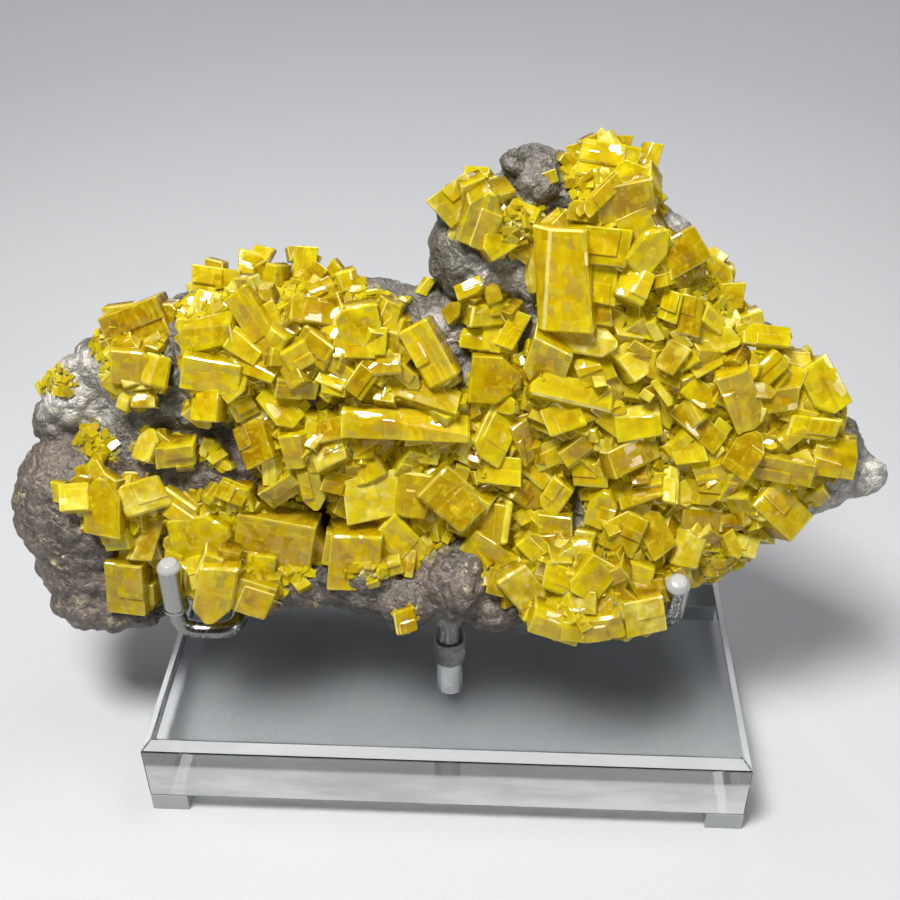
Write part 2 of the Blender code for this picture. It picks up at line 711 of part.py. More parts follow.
def block(parts, helpers, finish):
    """The clear block: chamfered round its top, drilled through for the post."""
    bm = bmesh.new()
    size = Matrix.Diagonal((BLOCK_LENGTH, BLOCK_DEPTH, BLOCK_HEIGHT, 1))
    middle = Matrix.Translation((0, 0, BLOCK_BOTTOM + BLOCK_HEIGHT / 2))
    bmesh.ops.create_cube(bm, size=1, matrix=middle @ size)
    top = [edge for edge in bm.edges if all(v.co.z > BLOCK_TOP - GAP for v in edge.verts)]
    bmesh.ops.bevel(bm, geom=top, offset=BLOCK_CHAMFER, segments=1, affect="EDGES")
    made = mesh_object("acrylic_block", bm, parts, finish)
    hole = as_helper(turned("post_hole", helpers, POST_DIAMETER / 2 + GAP, BLOCK_BOTTOM - 0.001, BLOCK_TOP + 0.001))
    return joined(made, [hole], "DIFFERENCE")


def feet(parts, finish):
    """Four small square feet flush with the block's corners."""
    names = {(-1, -1): "front_left", (1, -1): "front_right", (-1, 1): "back_left", (1, 1): "back_right"}
    for (side, end), place in names.items():
        bm = bmesh.new()
        height = FOOT_HEIGHT - GAP
        centre = (
            side * (BLOCK_LENGTH - FOOT_SIDE) / 2,
            end * (BLOCK_DEPTH - FOOT_SIDE) / 2,
            height / 2,
        )
        size = Matrix.Diagonal((FOOT_SIDE, FOOT_SIDE, height, 1))
        bmesh.ops.create_cube(bm, size=1, matrix=Matrix.Translation(centre) @ size)
        mesh_object("foot_" + place, bm, parts, finish)


def turned(name, collection, radius, low, high, finish=None, segments=20):
    """An upright round bar on the post's axis."""
    bm = bmesh.new()
    place = Matrix.Translation((0, POST_Y, (low + high) / 2))
    bmesh.ops.create_cone(
        bm, cap_ends=True, segments=segments, radius1=radius, radius2=radius, depth=high - low, matrix=place
    )
    return mesh_object(name, bm, collection, finish)


def sleeve(name, collection, place, inner, outer, length, end, finish, segments=24):
    """A plastic sleeve, open below; with an end thickness it is closed above."""
    if end:
        profile = ((0, length), (outer * 0.78, length), (outer, length - outer * 0.25), (outer, 0), (inner, 0),
                   (inner, length - end), (0, length - end))  # fmt: skip
    else:
        profile = ((outer, length), (outer, 0), (inner, 0), (inner, length), (outer, length))
    bm = bmesh.new()
    points = [bm.verts.new((radius, 0, height)) for radius, height in profile]
    for first, second in zip(points, points[1:]):
        bm.edges.new((first, second))
    made = mesh_object(name, bm, collection, finish)
    turn = made.modifiers.new("Turn", "SCREW")
    turn.steps = turn.render_steps = segments
    turn.use_merge_vertices = True
    turn.merge_threshold = FINE_WELD
    applied(made)
    bm = bmesh.new()
    bm.from_mesh(made.data)
    bmesh.ops.remove_doubles(bm, verts=bm.verts[:], dist=FINE_WELD)
    bmesh.ops.recalc_face_normals(bm, faces=bm.faces[:])
    bm.transform(place)
    bm.to_mesh(made.data)
    bm.free()
    return made


def along_axis(tip, way, length):
    """A place whose +Z runs up to the tip from this far below it."""
    return Matrix.Translation(tip - way * length) @ way.to_track_quat("Z", "Y").to_matrix().to_4x4()


def rounded_path(corners, radius, steps=5):
    """The corners' path with each inner corner rounded off by an arc."""
    points = [corners[0]]
    for before, corner, after in zip(corners, corners[1:], corners[2:]):
        inward = (before - corner).normalized()
        outward = (after - corner).normalized()
        angle = inward.angle(outward)
        back = min(radius / math.tan(angle / 2), 0.45 * (before - corner).length, 0.45 * (after - corner).length)
        start = corner + inward * back
        end = corner + outward * back
        for step in range(steps + 1):
            share = step / steps
            points.append(start.lerp(corner, share).lerp(corner.lerp(end, share), share))
    points.append(corners[-1])
    return points


def rod(name, corners, collection, finish=None, diameter=ROD_DIAMETER):
    """A bent round rod with flat ends."""
    points = rounded_path([Vector(corner) for corner in corners], ROD_BEND, 3)
    curve = bpy.data.curves.new(name, "CURVE")
    curve.dimensions = "3D"
    curve.bevel_depth = diameter / 2
    curve.bevel_resolution = 2
    curve.use_fill_caps = True
    spline = curve.splines.new("POLY")
    spline.points.add(len(points) - 1)
    for place, point in zip(spline.points, points):
        place.co = (*point, 1)
    bm = curve_mesh(name, curve, collection, FINE_WELD)
    bmesh.ops.recalc_face_normals(bm, faces=bm.faces[:])
    return mesh_object(name, bm, collection, finish)


RIGHT_WAY = Vector((-0.02, -math.sin(RIGHT_PRONG_TILT), math.cos(RIGHT_PRONG_TILT))).normalized()
LEFT_WAY = Vector((0, 0, 1))
REST_WAY = Vector((0, math.sin(LEAN), math.cos(LEAN)))
HUB_MIDDLE = POST_TOP + GAP + HUB_HEIGHT / 2
HUB_EDGE = HUB_DIAMETER / 2 + GAP
SLEEVED = TIP_SLEEVE_END + GAP


def left_arm_corners():
    tip = LEFT_PRONG - LEFT_WAY * SLEEVED
    return (
        (-HUB_EDGE, POST_Y, HUB_MIDDLE),
        (-0.018, POST_Y + 0.002, ROD_HEIGHT),
        (-0.032, 0.010, ROD_HEIGHT),
        (LEFT_ARM_IN, 0.010, ROD_HEIGHT),
        (LEFT_ARM_IN, LEFT_PRONG.y, ROD_HEIGHT),
        (LEFT_PRONG.x, LEFT_PRONG.y, ROD_HEIGHT),
        tuple(tip),
    )


def right_arm_corners():
    tip = RIGHT_PRONG - RIGHT_WAY * SLEEVED
    knee = RIGHT_PRONG - RIGHT_WAY * ((RIGHT_PRONG.z - ROD_HEIGHT) / RIGHT_WAY.z)
    return (
        (HUB_EDGE, POST_Y, HUB_MIDDLE),
        (0.018, POST_Y + 0.002, ROD_HEIGHT),
        (0.032, 0.010, ROD_HEIGHT),
        (knee.x, 0.010, ROD_HEIGHT),
        tuple(knee),
        tuple(tip),
    )


def rest_corners():
    tip = REST_TIP - REST_WAY * SLEEVED
    knee = REST_TIP - REST_WAY * ((REST_TIP.z - HUB_MIDDLE) / REST_WAY.z)
    return ((0, POST_Y + HUB_EDGE, HUB_MIDDLE), tuple(knee), tuple(tip))


def stand(parts, helpers, finishes):
    block(parts, helpers, finishes["acrylic"])
    feet(parts, finishes["acrylic"])
    turned("steel_post", parts, POST_DIAMETER / 2, POST_BOTTOM, POST_TOP, finishes["steel"])
    inner = POST_DIAMETER / 2 + GAP
    on_block = Matrix.Translation((0, POST_Y, BLOCK_TOP + GAP))
    sleeve(
        "post_sleeve", parts, on_block, inner, inner + SLEEVE_WALL, POST_SLEEVE_HEIGHT, 0, finishes["sleeve"], 20
    )
    hub_low = POST_TOP + GAP
    turned("steel_hub", parts, HUB_DIAMETER / 2, hub_low, hub_low + HUB_HEIGHT, finishes["steel"])
    rods = {
        "left_arm": (left_arm_corners(), LEFT_PRONG, LEFT_WAY, "left_arm_sleeve"),
        "right_arm": (right_arm_corners(), RIGHT_PRONG, RIGHT_WAY, "right_arm_sleeve"),
        "back_rest": (rest_corners(), REST_TIP, REST_WAY, "back_rest_sleeve"),
    }
    for name, (corners, tip, way, sleeve_name) in rods.items():
        rod(name, corners, parts, finishes["steel"])
        place = along_axis(tip, way, TIP_SLEEVE_LENGTH)
        inner = ROD_DIAMETER / 2 + GAP
        outer = TIP_SLEEVE_DIAMETER / 2
        sleeve(sleeve_name, parts, place, inner, outer, TIP_SLEEVE_LENGTH, TIP_SLEEVE_END, finishes["sleeve"], 12)


def room_for_stand(helpers):
    """Cutters that leave the touching gap round the hub, the bars and their sleeves."""
    low = POST_TOP - HUB_HEIGHT / 2
    room = [turned("hub_room", helpers, HUB_DIAMETER / 2 + GAP, low, POST_TOP + HUB_HEIGHT + 2 * GAP)]
    fat = ROD_DIAMETER + 2 * FACETED_GAP
    for name, corners in (("left", left_arm_corners()), ("right", right_arm_corners()), ("rest", rest_corners())):
        room.append(rod(name + "_rod_room", corners, helpers, diameter=fat))
    for name, tip, way in (
        ("left", LEFT_PRONG, LEFT_WAY),
        ("right", RIGHT_PRONG, RIGHT_WAY),
        ("rest", REST_TIP, REST_WAY),
    ):
        length = TIP_SLEEVE_LENGTH + 2 * GAP
        bm = bmesh.new()
        radius = TIP_SLEEVE_DIAMETER / 2 + FACETED_GAP
        place = along_axis(tip + way * GAP, way, length / 2)
        bmesh.ops.create_cone(
            bm, cap_ends=True, segments=16, radius1=radius, radius2=radius, depth=length, matrix=place
        )
        room.append(mesh_object(name + "_sleeve_room", bm, helpers))
    return [as_helper(piece) for piece in room]


def centre_on_floor(parts):
    """Puts the origin under the middle of the whole object, on the surface it stands on."""
    bpy.context.view_layer.update()
    corners = [v.co for thing in parts.objects for v in thing.data.vertices]
    middle_x = (min(c.x for c in corners) + max(c.x for c in corners)) / 2
    middle_y = (min(c.y for c in corners) + max(c.y for c in corners)) / 2
    move = Matrix.Translation((-middle_x, -middle_y, 0))
    for thing in parts.objects:
        thing.data.transform(move)


def build():
    clear_scene()
    parts = new_collection("baryte_specimen_on_stand")
    helpers = new_collection("cutters")
    finishes = {
        "acrylic": material("clear_acrylic", (0.85, 0.9, 0.92), 0.05),
        "steel": material("polished_steel", (0.6, 0.6, 0.6), 0.25, 1.0),
        "sleeve": material("frosted_sleeve", (0.75, 0.75, 0.73), 0.4),
    }
    yellow = material("yellow_baryte", (0.75, 0.55, 0.02), 0.15)
    matrix = material("grey_brown_matrix", (0.22, 0.19, 0.16), 0.6)
    stand(parts, helpers, finishes)
    room = room_for_stand(helpers)
    rock = grown_rock("matrix_rock", parts, 0, ROCK_TRIANGLES)
    rock.data.materials.append(matrix)
    joined(rock, room, "DIFFERENCE")
    tidy(rock)
    skin = as_helper(grown_rock("crust_skin", helpers, CRUST, CRUST_TRIANGLES))
    clearance = offset_copy(rock, "rock_room", helpers, OFFSET_GAP)
    cutters = [clearance, rock, *room]
    for name, rows, outline in GROUPS:
        group = crystal_group(name, rows, outline, skin, cutters, parts, helpers, yellow)
        cutters.append(offset_copy(group, name + "_room", helpers, OFFSET_GAP))
    centre_on_floor(parts)


build()
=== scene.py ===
import math
import random

import bmesh
import bpy
from mathutils import Matrix, Vector, noise
from mathutils.bvhtree import BVHTree


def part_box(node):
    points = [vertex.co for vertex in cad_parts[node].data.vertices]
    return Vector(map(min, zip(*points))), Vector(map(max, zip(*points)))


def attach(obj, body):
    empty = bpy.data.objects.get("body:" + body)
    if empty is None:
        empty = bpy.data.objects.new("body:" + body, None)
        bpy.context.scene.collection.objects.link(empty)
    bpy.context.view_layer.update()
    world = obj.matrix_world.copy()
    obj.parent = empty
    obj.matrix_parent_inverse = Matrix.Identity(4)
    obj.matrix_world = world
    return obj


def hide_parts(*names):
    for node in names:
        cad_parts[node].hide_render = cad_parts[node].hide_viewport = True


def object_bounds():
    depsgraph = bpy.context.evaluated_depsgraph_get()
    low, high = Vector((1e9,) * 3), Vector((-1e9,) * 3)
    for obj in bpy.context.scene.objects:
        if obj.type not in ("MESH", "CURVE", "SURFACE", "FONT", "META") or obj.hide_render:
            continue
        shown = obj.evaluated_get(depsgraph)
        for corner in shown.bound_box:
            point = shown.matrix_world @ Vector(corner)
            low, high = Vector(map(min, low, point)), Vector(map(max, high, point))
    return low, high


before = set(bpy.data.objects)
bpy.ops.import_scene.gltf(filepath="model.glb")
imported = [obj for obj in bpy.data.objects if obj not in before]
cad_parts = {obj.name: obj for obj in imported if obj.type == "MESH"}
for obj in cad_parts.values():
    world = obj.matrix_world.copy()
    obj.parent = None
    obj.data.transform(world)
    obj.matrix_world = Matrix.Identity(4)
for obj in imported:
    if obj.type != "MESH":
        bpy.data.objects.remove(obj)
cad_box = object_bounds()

MM = 0.001
TIGHT = 0.0001
block_low, block_high = (Vector(corner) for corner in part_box("acrylic_block"))
SHIFT = Vector(((block_low.x + block_high.x) / 2, (block_low.y + block_high.y) / 2, 0))


# The room: a pale floor and a pale backdrop, a soft box over the front left, a long strip over
# the right, a small box far right and a strip behind, and a lens that looks down from the front.

scene = bpy.context.scene
scene.view_settings.view_transform = "Standard"
scene.view_settings.look = "None"
MOST_BOUNCES = 5
MOST_SURFACE_BOUNCES = 3
scene.cycles.max_bounces = MOST_BOUNCES
scene.cycles.transmission_bounces = MOST_BOUNCES
scene.cycles.diffuse_bounces = MOST_SURFACE_BOUNCES
scene.cycles.glossy_bounces = MOST_SURFACE_BOUNCES

LENS = 49.32
LENS_PLACE = Vector((0.0181, -0.3126, 0.3493))
LENS_DOWN = math.radians(36.36)
LENS_LEFT = math.radians(3.21)
LENS_ROLL = math.radians(-0.68)

camera_data = bpy.data.cameras.new("camera")
camera_data.lens = LENS
camera_data.sensor_width = 36
camera_data.clip_start = 0.01
camera = bpy.data.objects.new("camera", camera_data)
camera.matrix_world = (
    Matrix.Translation(LENS_PLACE + SHIFT)
    @ Matrix.Rotation(LENS_LEFT, 4, "Z")
    @ Matrix.Rotation(math.pi / 2 - LENS_DOWN, 4, "X")
    @ Matrix.Rotation(LENS_ROLL, 4, "Z")
)
scene.collection.objects.link(camera)
scene.camera = camera

ROOM_COLOUR = (0.75, 0.8, 0.88, 1)
ROOM_LIGHT = 0.055
BACKDROP_COLOUR = (0.45, 0.46, 0.48, 1)
world = bpy.data.worlds.new("room")
world.use_nodes = True
room = world.node_tree.nodes
room["Background"].inputs["Color"].default_value = ROOM_COLOUR
room["Background"].inputs["Strength"].default_value = ROOM_LIGHT
backdrop = room.new("ShaderNodeBackground")
backdrop.inputs["Color"].default_value = BACKDROP_COLOUR
lit_or_seen = room.new("ShaderNodeMixShader")
for source, socket in (
    (room.new("ShaderNodeLightPath").outputs["Is Camera Ray"], lit_or_seen.inputs[0]),
    (room["Background"].outputs[0], lit_or_seen.inputs[1]),
    (backdrop.outputs[0], lit_or_seen.inputs[2]),
    (lit_or_seen.outputs[0], room["World Output"].inputs["Surface"]),
):
    world.node_tree.links.new(source, socket)
scene.world = world

# name: (place, what it points at, width, height, watts, colour)
SOFT_BOXES = {
    "key_box": ((-0.22, -0.30, 1.05), (0, 0, 0.1), 0.30, 0.30, 20, (1, 0.98, 0.95)),
    "top_strip": ((0.25, 0.15, 1.0), (0, 0, 0.1), 0.8, 0.06, 3, (1, 0.98, 0.95)),
    "right_box": ((0.9, -0.5, 0.45), (0, 0, 0.1), 0.10, 0.35, 1.6, (0.93, 0.96, 1)),
    "back_strip": ((-0.05, 1.0, 0.55), (0, 0, 0.12), 1.2, 0.22, 3.0, (0.97, 0.98, 1)),
}
for name, (place, aim, width, height, watts, colour) in SOFT_BOXES.items():
    lamp_data = bpy.data.lights.new(name, "AREA")
    lamp_data.shape = "RECTANGLE"
    lamp_data.size = width
    lamp_data.size_y = height
    lamp_data.energy = watts
    lamp_data.color = colour
    lamp = bpy.data.objects.new(name, lamp_data)
    lamp.location = place
    lamp.rotation_euler = (Vector(place) - Vector(aim)).to_track_quat("Z", "Y").to_euler()
    scene.collection.objects.link(lamp)


class Socket:
    """One output of a material's nodes. Arithmetic on it adds Math nodes; node() adds any other."""

    def __init__(self, tree, link=None):
        self.tree = tree
        self.link = link

    def node(self, kind, settings=None, sockets=None, output=0):
        made = self.tree.nodes.new("ShaderNode" + kind)
        for name, value in (settings or {}).items():
            setattr(made, name, value)
        for name, value in (sockets or {}).items():
            if isinstance(value, Socket):
                self.tree.links.new(value.link, made.inputs[name])
            else:
                made.inputs[name].default_value = value
        return Socket(self.tree, made.outputs[output])

    def output(self, number):
        """Another output of the same node."""
        return Socket(self.tree, self.link.node.outputs[number])

    def maths(self, operation, first, second=0.0):
        return self.node("Math", {"operation": operation}, {0: first, 1: second})

    def __add__(self, other):
        return self.maths("ADD", self, other)

    def __sub__(self, other):
        return self.maths("SUBTRACT", self, other)

    def __rsub__(self, other):
        return self.maths("SUBTRACT", other, self)

    def __mul__(self, other):
        return self.maths("MULTIPLY", self, other)

    __radd__ = __add__
    __rmul__ = __mul__

    def mix(self, colour, other):
        """Between two colours, by this socket."""
        return self.node("Mix", {"data_type": "RGBA"}, {0: self, 6: colour, 7: other}, output=2)

    def mixed_by(self, colour):
        """This colour multiplied by another."""
        settings = {"data_type": "RGBA", "blend_type": "MULTIPLY"}
        return self.node("Mix", settings, {0: 1.0, 6: self, 7: colour}, output=2)

    def between(self, low, high, to_low=0.0, to_high=1.0):
        """This socket's range stretched to another one, with soft ends."""
        settings = {"interpolation_type": "SMOOTHSTEP"}
        return self.node("MapRange", settings, {0: self, 1: low, 2: high, 3: to_low, 4: to_high})

    def place(self):
        """Where a point of the object is, in metres."""
        return self.node("TexCoord", output=3)

    def stored(self, name, output=0):
        """What the mesh carries under a name."""
        return self.node("Attribute", {"attribute_name": name, "attribute_type": "GEOMETRY"}, output=output)

    def stretched(self, scale, turn=(0, 0, 0)):
        """This place turned and stretched along each axis."""
        return self.node("Mapping", None, {"Vector": self, "Rotation": turn, "Scale": scale})

    def clouds(self, scale, detail=2.0, roughness=0.5):
        """Cloudy noise over this place."""
        settings = {"Vector": self, "Scale": scale, "Detail": detail, "Roughness": roughness}
        return self.node("TexNoise", None, settings)

    def added_to(self, vector, share):
        """This vector times a number, added to another."""
        return self.node("VectorMath", {"operation": "MULTIPLY_ADD"}, {0: self, 1: (share,) * 3, 2: vector})

    def bump(self, strength, distance):
        """This height as a dented normal."""
        return self.node("Bump", None, {"Strength": strength, "Distance": distance, "Height": self})


def new_material(name):
    """A material, its tree to add nodes to, and its Principled shader's sockets."""
    made = bpy.data.materials.new(name)
    made.use_nodes = True
    return made, Socket(made.node_tree), made.node_tree.nodes["Principled BSDF"].inputs


def feed(tree, inputs, **links):
    """Links the varying sockets of a shader and sets the plain ones."""
    for name, value in links.items():
        socket = inputs[name.replace("_", " ")]
        if isinstance(value, Socket):
            tree.tree.links.new(value.link, socket)
        else:
            socket.default_value = value


def rgb(red, green, blue):
    return (red, green, blue, 1)


FLOOR_HALF = 6
FLOOR_GLOW_FROM = 0.6
FLOOR_GLOW_FULL = 2.0
floor_mesh = bmesh.new()
bmesh.ops.create_grid(floor_mesh, x_segments=1, y_segments=1, size=FLOOR_HALF)
floor_data = bpy.data.meshes.new("floor")
floor_mesh.to_mesh(floor_data)
floor_mesh.free()
floor = bpy.data.objects.new("floor", floor_data)
scene.collection.objects.link(floor)
floor_finish, floor_tree, floor_shader = new_material("pale_floor")
floor_finish.cycles.emission_sampling = "NONE"
floor_place = floor_tree.place()
far_out = floor_tree.node("VectorMath", {"operation": "LENGTH"}, {0: floor_place}, output=1)
feed(
    floor_tree,
    floor_shader,
    Base_Color=floor_place.clouds(900.0).mix(rgb(0.40, 0.41, 0.43), rgb(0.46, 0.47, 0.49)),
    Roughness=0.55,
    Emission_Color=far_out.between(FLOOR_GLOW_FROM, FLOOR_GLOW_FULL).mix(rgb(0, 0, 0), rgb(0.44, 0.45, 0.47)),
    Emission_Strength=1.0,
)
floor_data.materials.append(floor_finish)


# The clear block: cast acrylic sawn to size, its top edge chamfered and flame polished, drilled
# through for the post. The sides keep a faint ripple, the long ones a low band of painted reflection.

BLOCK_LENGTH = 0.200
BLOCK_DEPTH = 0.100
BLOCK_LOW = 0.0075
BLOCK_TOP = 0.0325
BLOCK_CHAMFER = 0.0032
BLOCK_ROUNDING = 0.0004
PAINTED_REFLECTION_BAND = (0.55, 0.65)
ACRYLIC_IOR = 1.49
POST_Y = -0.006
POST_DIAMETER = 0.0088
GAP = 0.0003


def piece(name, bm, finishes, slot, *nodes):
    """A finished mesh as a piece of the object, riding the one body."""
    data = bpy.data.meshes.new(name)
    bm.to_mesh(data)
    bm.free()
    return dressed(name, data, finishes, slot, *nodes)


def dressed(name, data, finishes, slot, *nodes):
    """The same from mesh data: its finishes, its body and the nodes it stands for. The slot is not used."""
    made = bpy.data.objects.new(name, data)
    scene.collection.objects.link(made)
    for finish in finishes:
        data.materials.append(finish)
    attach(made, "root")
    if nodes:
        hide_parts(*nodes)
    return made


def mix_shaders(tree, factor, first, second):
    """The surface becomes a mix of two shaders, by a factor."""
    blend = tree.node("MixShader", None, {0: factor}).link.node
    tree.tree.links.new(first.outputs[0], blend.inputs[1])
    tree.tree.links.new(second.outputs[0], blend.inputs[2])
    tree.tree.links.new(blend.outputs[0], tree.tree.nodes["Material Output"].inputs["Surface"])


CLEAR = {
    "Base_Color": rgb(0.955, 0.985, 0.99),
    "Roughness": 0.02,
    "IOR": ACRYLIC_IOR,
    "Transmission_Weight": 1.0,
}
acrylic, acrylic_tree, acrylic_shader = new_material("clear_acrylic")
feed(acrylic_tree, acrylic_shader, **CLEAR, Normal=acrylic_tree.place().clouds(30.0).bump(0.01, 0.0005))
hole_wall, hole_tree, hole_shader = new_material("drilled_wall")
feed(
    hole_tree,
    hole_shader,
    Base_Color=rgb(0.85, 0.87, 0.87),
    Roughness=hole_tree.place().clouds(1400.0).between(0.3, 0.7, 0.05, 0.12),
    IOR=ACRYLIC_IOR,
    Transmission_Weight=0.92,
)
# Chamfer and feet: acrylic made partly milky pale, a painted sheen for their bright reflections.
painted_sheen_acrylic, _, painted_sheen_shader = new_material("polished_chamfer")
feed(
    None,
    painted_sheen_shader,
    Base_Color=rgb(0.82, 0.86, 0.87),
    Roughness=0.07,
    IOR=ACRYLIC_IOR,
    Transmission_Weight=0.55,
)
# The long sides: clear acrylic mixed low down with a pale opaque shader, a painted reflection.
painted_reflection_side, side_tree, side_shader = new_material("satin_side")
side_place = side_tree.place()
side_height = side_tree.node("SeparateXYZ", None, {0: side_place}, output=2)
side_clouds = side_place.stretched((14, 14, 60)).clouds(1.0, 4.0, 0.6)
band_low, band_high = (BLOCK_LOW + share * (BLOCK_TOP - BLOCK_LOW) for share in PAINTED_REFLECTION_BAND)
painted_reflection_band = side_height.between(band_low, band_high, 1.0, 0.25)
feed(side_tree, side_shader, **CLEAR)
glass = side_tree.tree.nodes["Principled BSDF"]
satin = side_tree.tree.nodes.new("ShaderNodeBsdfPrincipled")
feed(side_tree, satin.inputs, Base_Color=rgb(0.92, 0.95, 0.92), Roughness=0.25, IOR=ACRYLIC_IOR)
mix_shaders(side_tree, painted_reflection_band * side_clouds.between(0.35, 0.65, 0.5, 0.75), glass, satin)


def box_mesh(low, high):
    bm = bmesh.new()
    size = Vector(high) - Vector(low)
    middle = (Vector(high) + Vector(low)) / 2
    bmesh.ops.create_cube(bm, size=1, matrix=Matrix.Translation(middle) @ Matrix.Diagonal((*size, 1)))
    return bm


def rim_edges(bm, height):
    return [edge for edge in bm.edges if all(abs(v.co.z - height) < GAP for v in edge.verts)]


block = box_mesh(
    (SHIFT.x - BLOCK_LENGTH / 2, SHIFT.y - BLOCK_DEPTH / 2, BLOCK_LOW),
    (SHIFT.x + BLOCK_LENGTH / 2, SHIFT.y + BLOCK_DEPTH / 2, BLOCK_TOP),
)
bmesh.ops.bevel(block, geom=rim_edges(block, BLOCK_TOP), offset=BLOCK_CHAMFER, segments=1, affect="EDGES")
for face in block.faces:
    if 0.2 < face.normal.z < 0.9:
        face.material_index = 2  # the chamfer
    elif abs(face.normal.y) > 0.9:
        face.material_index = 3  # the two long sides
bmesh.ops.bevel(block, geom=block.edges[:], offset=BLOCK_ROUNDING, segments=2, profile=0.7, affect="EDGES")
block_finishes = (acrylic, hole_wall, painted_sheen_acrylic, painted_reflection_side)
block_piece = piece("clear_block", block, block_finishes, "clear_acrylic", "acrylic_block")
drill = bmesh.new()
bmesh.ops.create_cone(
    drill,
    cap_ends=True,
    segments=48,
    radius1=POST_DIAMETER / 2 + GAP,
    radius2=POST_DIAMETER / 2 + GAP,
    depth=BLOCK_TOP,
    matrix=Matrix.Translation((SHIFT.x, SHIFT.y + POST_Y, (BLOCK_LOW + BLOCK_TOP) / 2)),
)
drill_data = bpy.data.meshes.new("drill")
drill.to_mesh(drill_data)
drill.free()
drill_data.materials.append(hole_wall)
drill_piece = bpy.data.objects.new("drill", drill_data)
scene.collection.objects.link(drill_piece)
bore = block_piece.modifiers.new("Bore", "BOOLEAN")
bore.operation = "DIFFERENCE"
bore.object = drill_piece
bore.material_mode = "TRANSFER"


def baked(thing):
    """The object's modifiers made part of its mesh."""
    graph = bpy.context.evaluated_depsgraph_get()
    data = bpy.data.meshes.new_from_object(thing.evaluated_get(graph))
    thing.modifiers.clear()
    thing.data = data
    return thing


baked(block_piece)
bpy.data.objects.remove(drill_piece)


# Four square acrylic feet, sawn from flame-polished bar and cemented flush with the block's
# corners.

FOOT_SIDE = 0.0125
FOOT_HEIGHT = 0.0072
FOOT_ROUNDING = 0.0003

for foot_name, side, end in (
    ("foot_front_left", -1, -1),
    ("foot_front_right", 1, -1),
    ("foot_back_left", -1, 1),
    ("foot_back_right", 1, 1),
):
    corner = SHIFT + Vector((side * BLOCK_LENGTH / 2, end * BLOCK_DEPTH / 2, 0))
    inner = corner - Vector((side * FOOT_SIDE, end * FOOT_SIDE, 0))
    foot = box_mesh(
        (min(corner.x, inner.x), min(corner.y, inner.y), 0),
        (max(corner.x, inner.x), max(corner.y, inner.y), FOOT_HEIGHT),
    )
    bmesh.ops.bevel(foot, geom=foot.edges[:], offset=FOOT_ROUNDING, segments=2, profile=0.7, affect="EDGES")
    piece("clear_" + foot_name, foot, (painted_sheen_acrylic,), "clear_acrylic", foot_name)


# The steelwork: a polished post pressed into the block, a turned hub on its top, and three
# bars bent cold and brazed to the hub, two of them prongs that hook up in front of the rock.

POST_LOW = 0.009
POST_TOP = 0.0535
HUB_DIAMETER = 0.016
HUB_HEIGHT = 0.008
POST_EDGE = 0.0004
HUB_CHAMFER = 0.0008
BAR_DIAMETER = 0.0055
BAR_BEND = 0.007
BAR_HEIGHT = 0.0585
TIP_CAP = 0.0016 + GAP
LEAN = math.radians(15)
LEFT_TIP = Vector((-0.0888, -0.0220, 0.0883))
LEFT_WAY = Vector((0, 0, 1))
RIGHT_TIP = Vector((0.0733, -0.0225, 0.0862))
RIGHT_WAY = Vector((-0.02, -math.sin(math.radians(20)), math.cos(math.radians(20)))).normalized()
REST_TIP = Vector((0.002, 0.0470, 0.118))
REST_WAY = Vector((0, math.sin(LEAN), math.cos(LEAN)))

steel, steel_tree, steel_shader = new_material("polished_steel")
place = steel_tree.place()
brushing = place.stretched((900.0, 900.0, 60.0)).clouds(1.0, 3.0)
smears = place.clouds(120.0, 3.0)
feed(
    steel_tree,
    steel_shader,
    Base_Color=smears.mix(rgb(0.20, 0.195, 0.19), rgb(0.34, 0.335, 0.325)),
    Metallic=1.0,
    Roughness=brushing.between(0.25, 0.75, 0.2, 0.36),
    Normal=brushing.bump(0.06, 0.0004),
)


def turned_mesh(profile, segments=48, axis=None):
    """A closed profile of (radius, height) turned about +Z, or about a place's own +Z."""
    bm = bmesh.new()
    rings = []
    for radius, height in profile:
        if radius == 0:
            rings.append([bm.verts.new((0, 0, height))])
            continue
        turn = [2 * math.pi * step / segments for step in range(segments)]
        rings.append([bm.verts.new((radius * math.cos(a), radius * math.sin(a), height)) for a in turn])
    closed = profile[0][0] > 0
    pairs = list(zip(rings, rings[1:])) + ([(rings[-1], rings[0])] if closed else [])
    for lower, upper in pairs:
        for step in range(segments):
            after = (step + 1) % segments
            turns = ((lower, step), (lower, after), (upper, after), (upper, step))
            bm.faces.new(list(dict.fromkeys(ring[count % len(ring)] for ring, count in turns)))
    for face in bm.faces:
        face.smooth = True
    bmesh.ops.recalc_face_normals(bm, faces=bm.faces[:])
    if axis:
        bm.transform(axis)
    return bm


def sharpened(thing, angle=35):
    """Edges steeper than this stay crisp on a smooth piece."""
    thing.data.set_sharp_from_angle(angle=math.radians(angle))
    return thing


on_post = Matrix.Translation(SHIFT + Vector((0, POST_Y, 0)))
radius = POST_DIAMETER / 2
post = turned_mesh(
    (
        (0, POST_LOW),
        (radius - POST_EDGE, POST_LOW),
        (radius, POST_LOW + POST_EDGE),
        (radius, POST_TOP),
        (0, POST_TOP),
    ),
    axis=on_post,
)
sharpened(piece("polished_post", post, (steel,), "polished_steel", "steel_post"))
hub_low = POST_TOP + GAP
hub_top = hub_low + HUB_HEIGHT
hub = turned_mesh(
    (
        (0, hub_low),
        (HUB_DIAMETER / 2 - HUB_CHAMFER, hub_low),
        (HUB_DIAMETER / 2, hub_low + HUB_CHAMFER),
        (HUB_DIAMETER / 2, hub_top - HUB_CHAMFER),
        (HUB_DIAMETER / 2 - HUB_CHAMFER, hub_top),
        (0, hub_top),
    ),
    axis=on_post,
)
sharpened(piece("turned_hub", hub, (steel,), "polished_steel", "steel_hub"))


